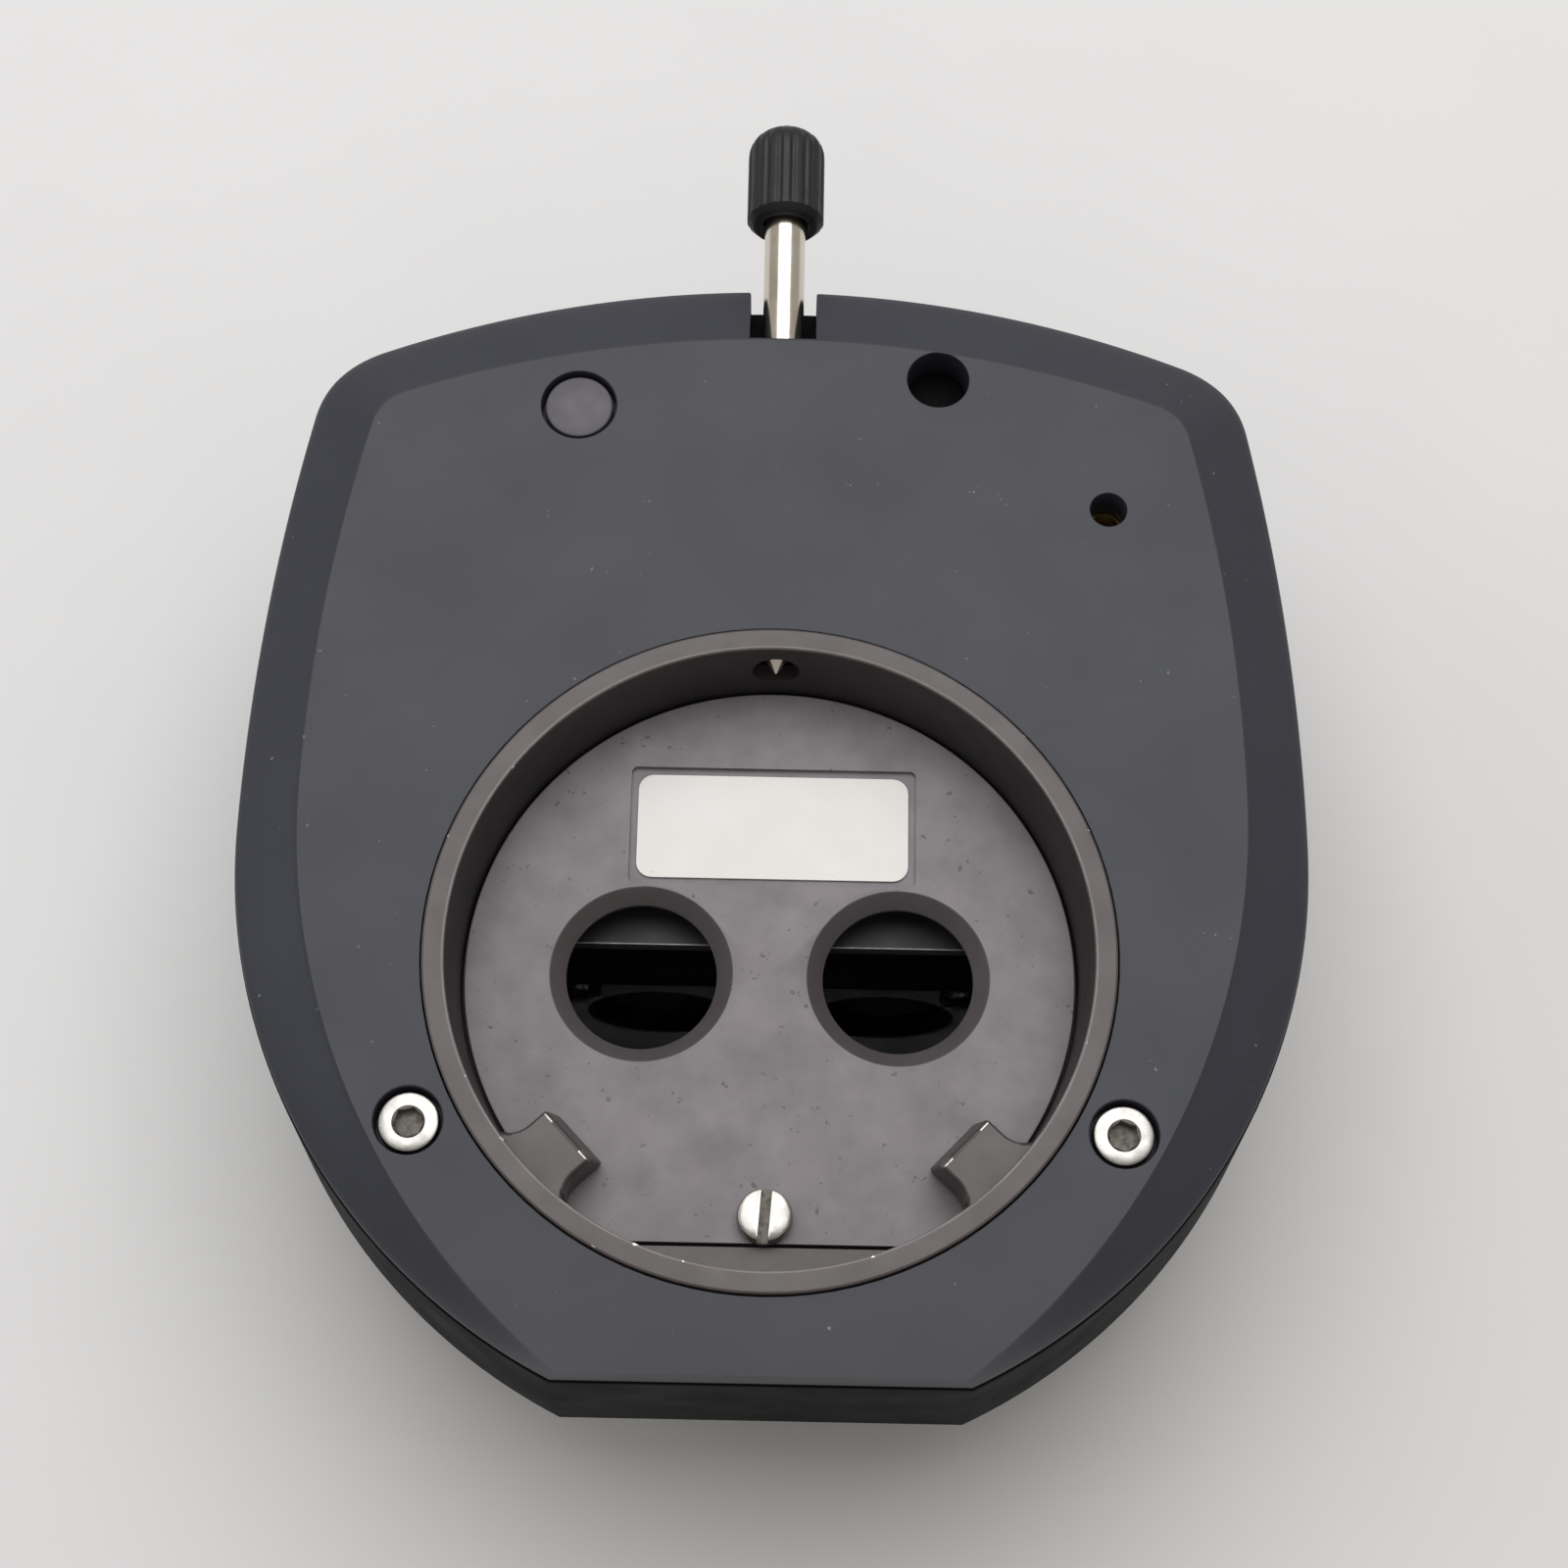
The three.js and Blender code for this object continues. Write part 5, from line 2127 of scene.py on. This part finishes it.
@dataclass
class MirrorCarriage:
    """The lower mirror on its carrier, its shafts and the slotted lever."""

    def build(self) -> None:
        """Builds every piece of the carriage."""
        mirror("lower_mirror", Body.CARRIAGE, 135)
        dress("mirror_carrier", ANODISED)
        dress("slotted_lever", BRIGHT_STEEL)
        for side in Side:
            self.shaft(side)

    def shaft(self, side: Side) -> bpy.types.Object:
        """A stepped shaft in a post.

        Args:
            side: Which shaft.

        Returns:
            The piece.
        """
        name = f"mirror_shaft_{side.tag}"
        span = Span.of(name)
        r, collar, length = 1.85, span.size.y / 2, span.size.x
        inner = min(abs(span.low.x), abs(span.high.x))
        step, shoulder = 28.7 - inner, 31.2 - inner
        profile = [(0, 0), (r - 0.15, 0), (r, 0.15), (r, step), (collar - 0.15, step), (collar, step + 0.15)]
        profile += [(collar, shoulder - 0.15), (collar - 0.15, shoulder), (r, shoulder)]
        profile += [(r, length - 0.25), (r - 0.25, length), (0, length)]
        blank = Blank.turned(profile, (inner, span.centre.y, span.centre.z), Axis.ACROSS, 64).sided(side)
        return blank.piece(name, Body.CARRIAGE, BRIGHT_STEEL, "bright_steel")


# ------------------------------------------------------------------ the studio
@dataclass
class Studio:
    """A pale floor, soft lights and the camera above the module."""

    eye_mm: tuple[float, float, float] = (0.98, -112.45, 298.04)
    tilt: float = 21.186
    roll: float = 1.132
    lens: float = 67.5

    def build(self) -> None:
        """Sets up everything round the object."""
        self.camera()
        self.floor()
        self.lights()

    def camera(self) -> bpy.types.Object:
        """The camera, looking down at the module.

        Returns:
            The camera.
        """
        data = bpy.data.cameras.new("camera")
        data.lens, data.sensor_width = self.lens, 36.0
        data.clip_start, data.clip_end = 0.01, 10.0
        camera = bpy.data.objects.new("camera", data)
        bpy.context.scene.collection.objects.link(camera)
        tilt = Matrix.Rotation(math.radians(self.tilt), 4, "X")
        roll = Matrix.Rotation(math.radians(self.roll), 4, "Z")
        camera.matrix_world = Matrix.Translation(Vector(self.eye_mm) * MM) @ tilt @ roll
        bpy.context.scene.camera = camera
        return camera

    def floor(self) -> bpy.types.Object:
        """A wide matt floor under the flange.

        Returns:
            The floor.
        """
        reach = 2.0
        data = bpy.data.meshes.new("floor")
        corners = [(-reach, -reach, 0), (reach, -reach, 0), (reach, reach, 0), (-reach, reach, 0)]
        data.from_pydata(corners, [], [(0, 1, 2, 3)])
        paper = Finish(
            name="paper_matt_floor",
            colour="#dcdcdc",
            blotch="#d8d8d8",
            blotch_mm=60.0,
            roughness=0.8,
            grain_mm=1.0,
            grain_depth_mm=0.01,
        )
        data.materials.append(paper.material())
        floor = bpy.data.objects.new("floor", data)
        bpy.context.scene.collection.objects.link(floor)
        return floor

    def lights(self) -> None:
        """A large soft light above and behind, a weak fill, and an even surround."""
        world = bpy.data.worlds.new("studio_air")
        world.use_nodes = True
        world.node_tree.nodes["Background"].inputs["Color"].default_value = linear("#fffbf5")
        world.node_tree.nodes["Background"].inputs["Strength"].default_value = 0.43
        bpy.context.scene.world = world
        bpy.context.scene.view_settings.view_transform = "Standard"
        lamps = [
            ("overhead", (0.0, 0.33, 0.8), 0.9, 6.5, "#fdfdff"),
            ("fill_left", (-0.7, 0.1, 0.5), 0.4, 0.6, "#f4f8ff"),
        ]
        for name, place, size, power, tint in lamps:
            data = bpy.data.lights.new(name, "AREA")
            data.shape, data.size, data.energy = "SQUARE", size, power
            data.color = linear(tint)[:3]
            lamp = bpy.data.objects.new(name, data)
            bpy.context.scene.collection.objects.link(lamp)
            lamp.location = place
            lamp.rotation_mode = "QUATERNION"
            lamp.rotation_quaternion = (-Vector(place)).to_track_quat("-Z", "Y")


def main() -> None:
    """Builds the classes in order."""
    logging.basicConfig(level=logging.INFO, format="%(message)s")
    for part in (Studio(), Cover(), TubeSeat(), ClampScrew(), HeadFrame(), MirrorCarriage(), Base()):
        log.info("building %s", type(part).__name__)
        part.build()


if __name__ == "__main__":
    main()
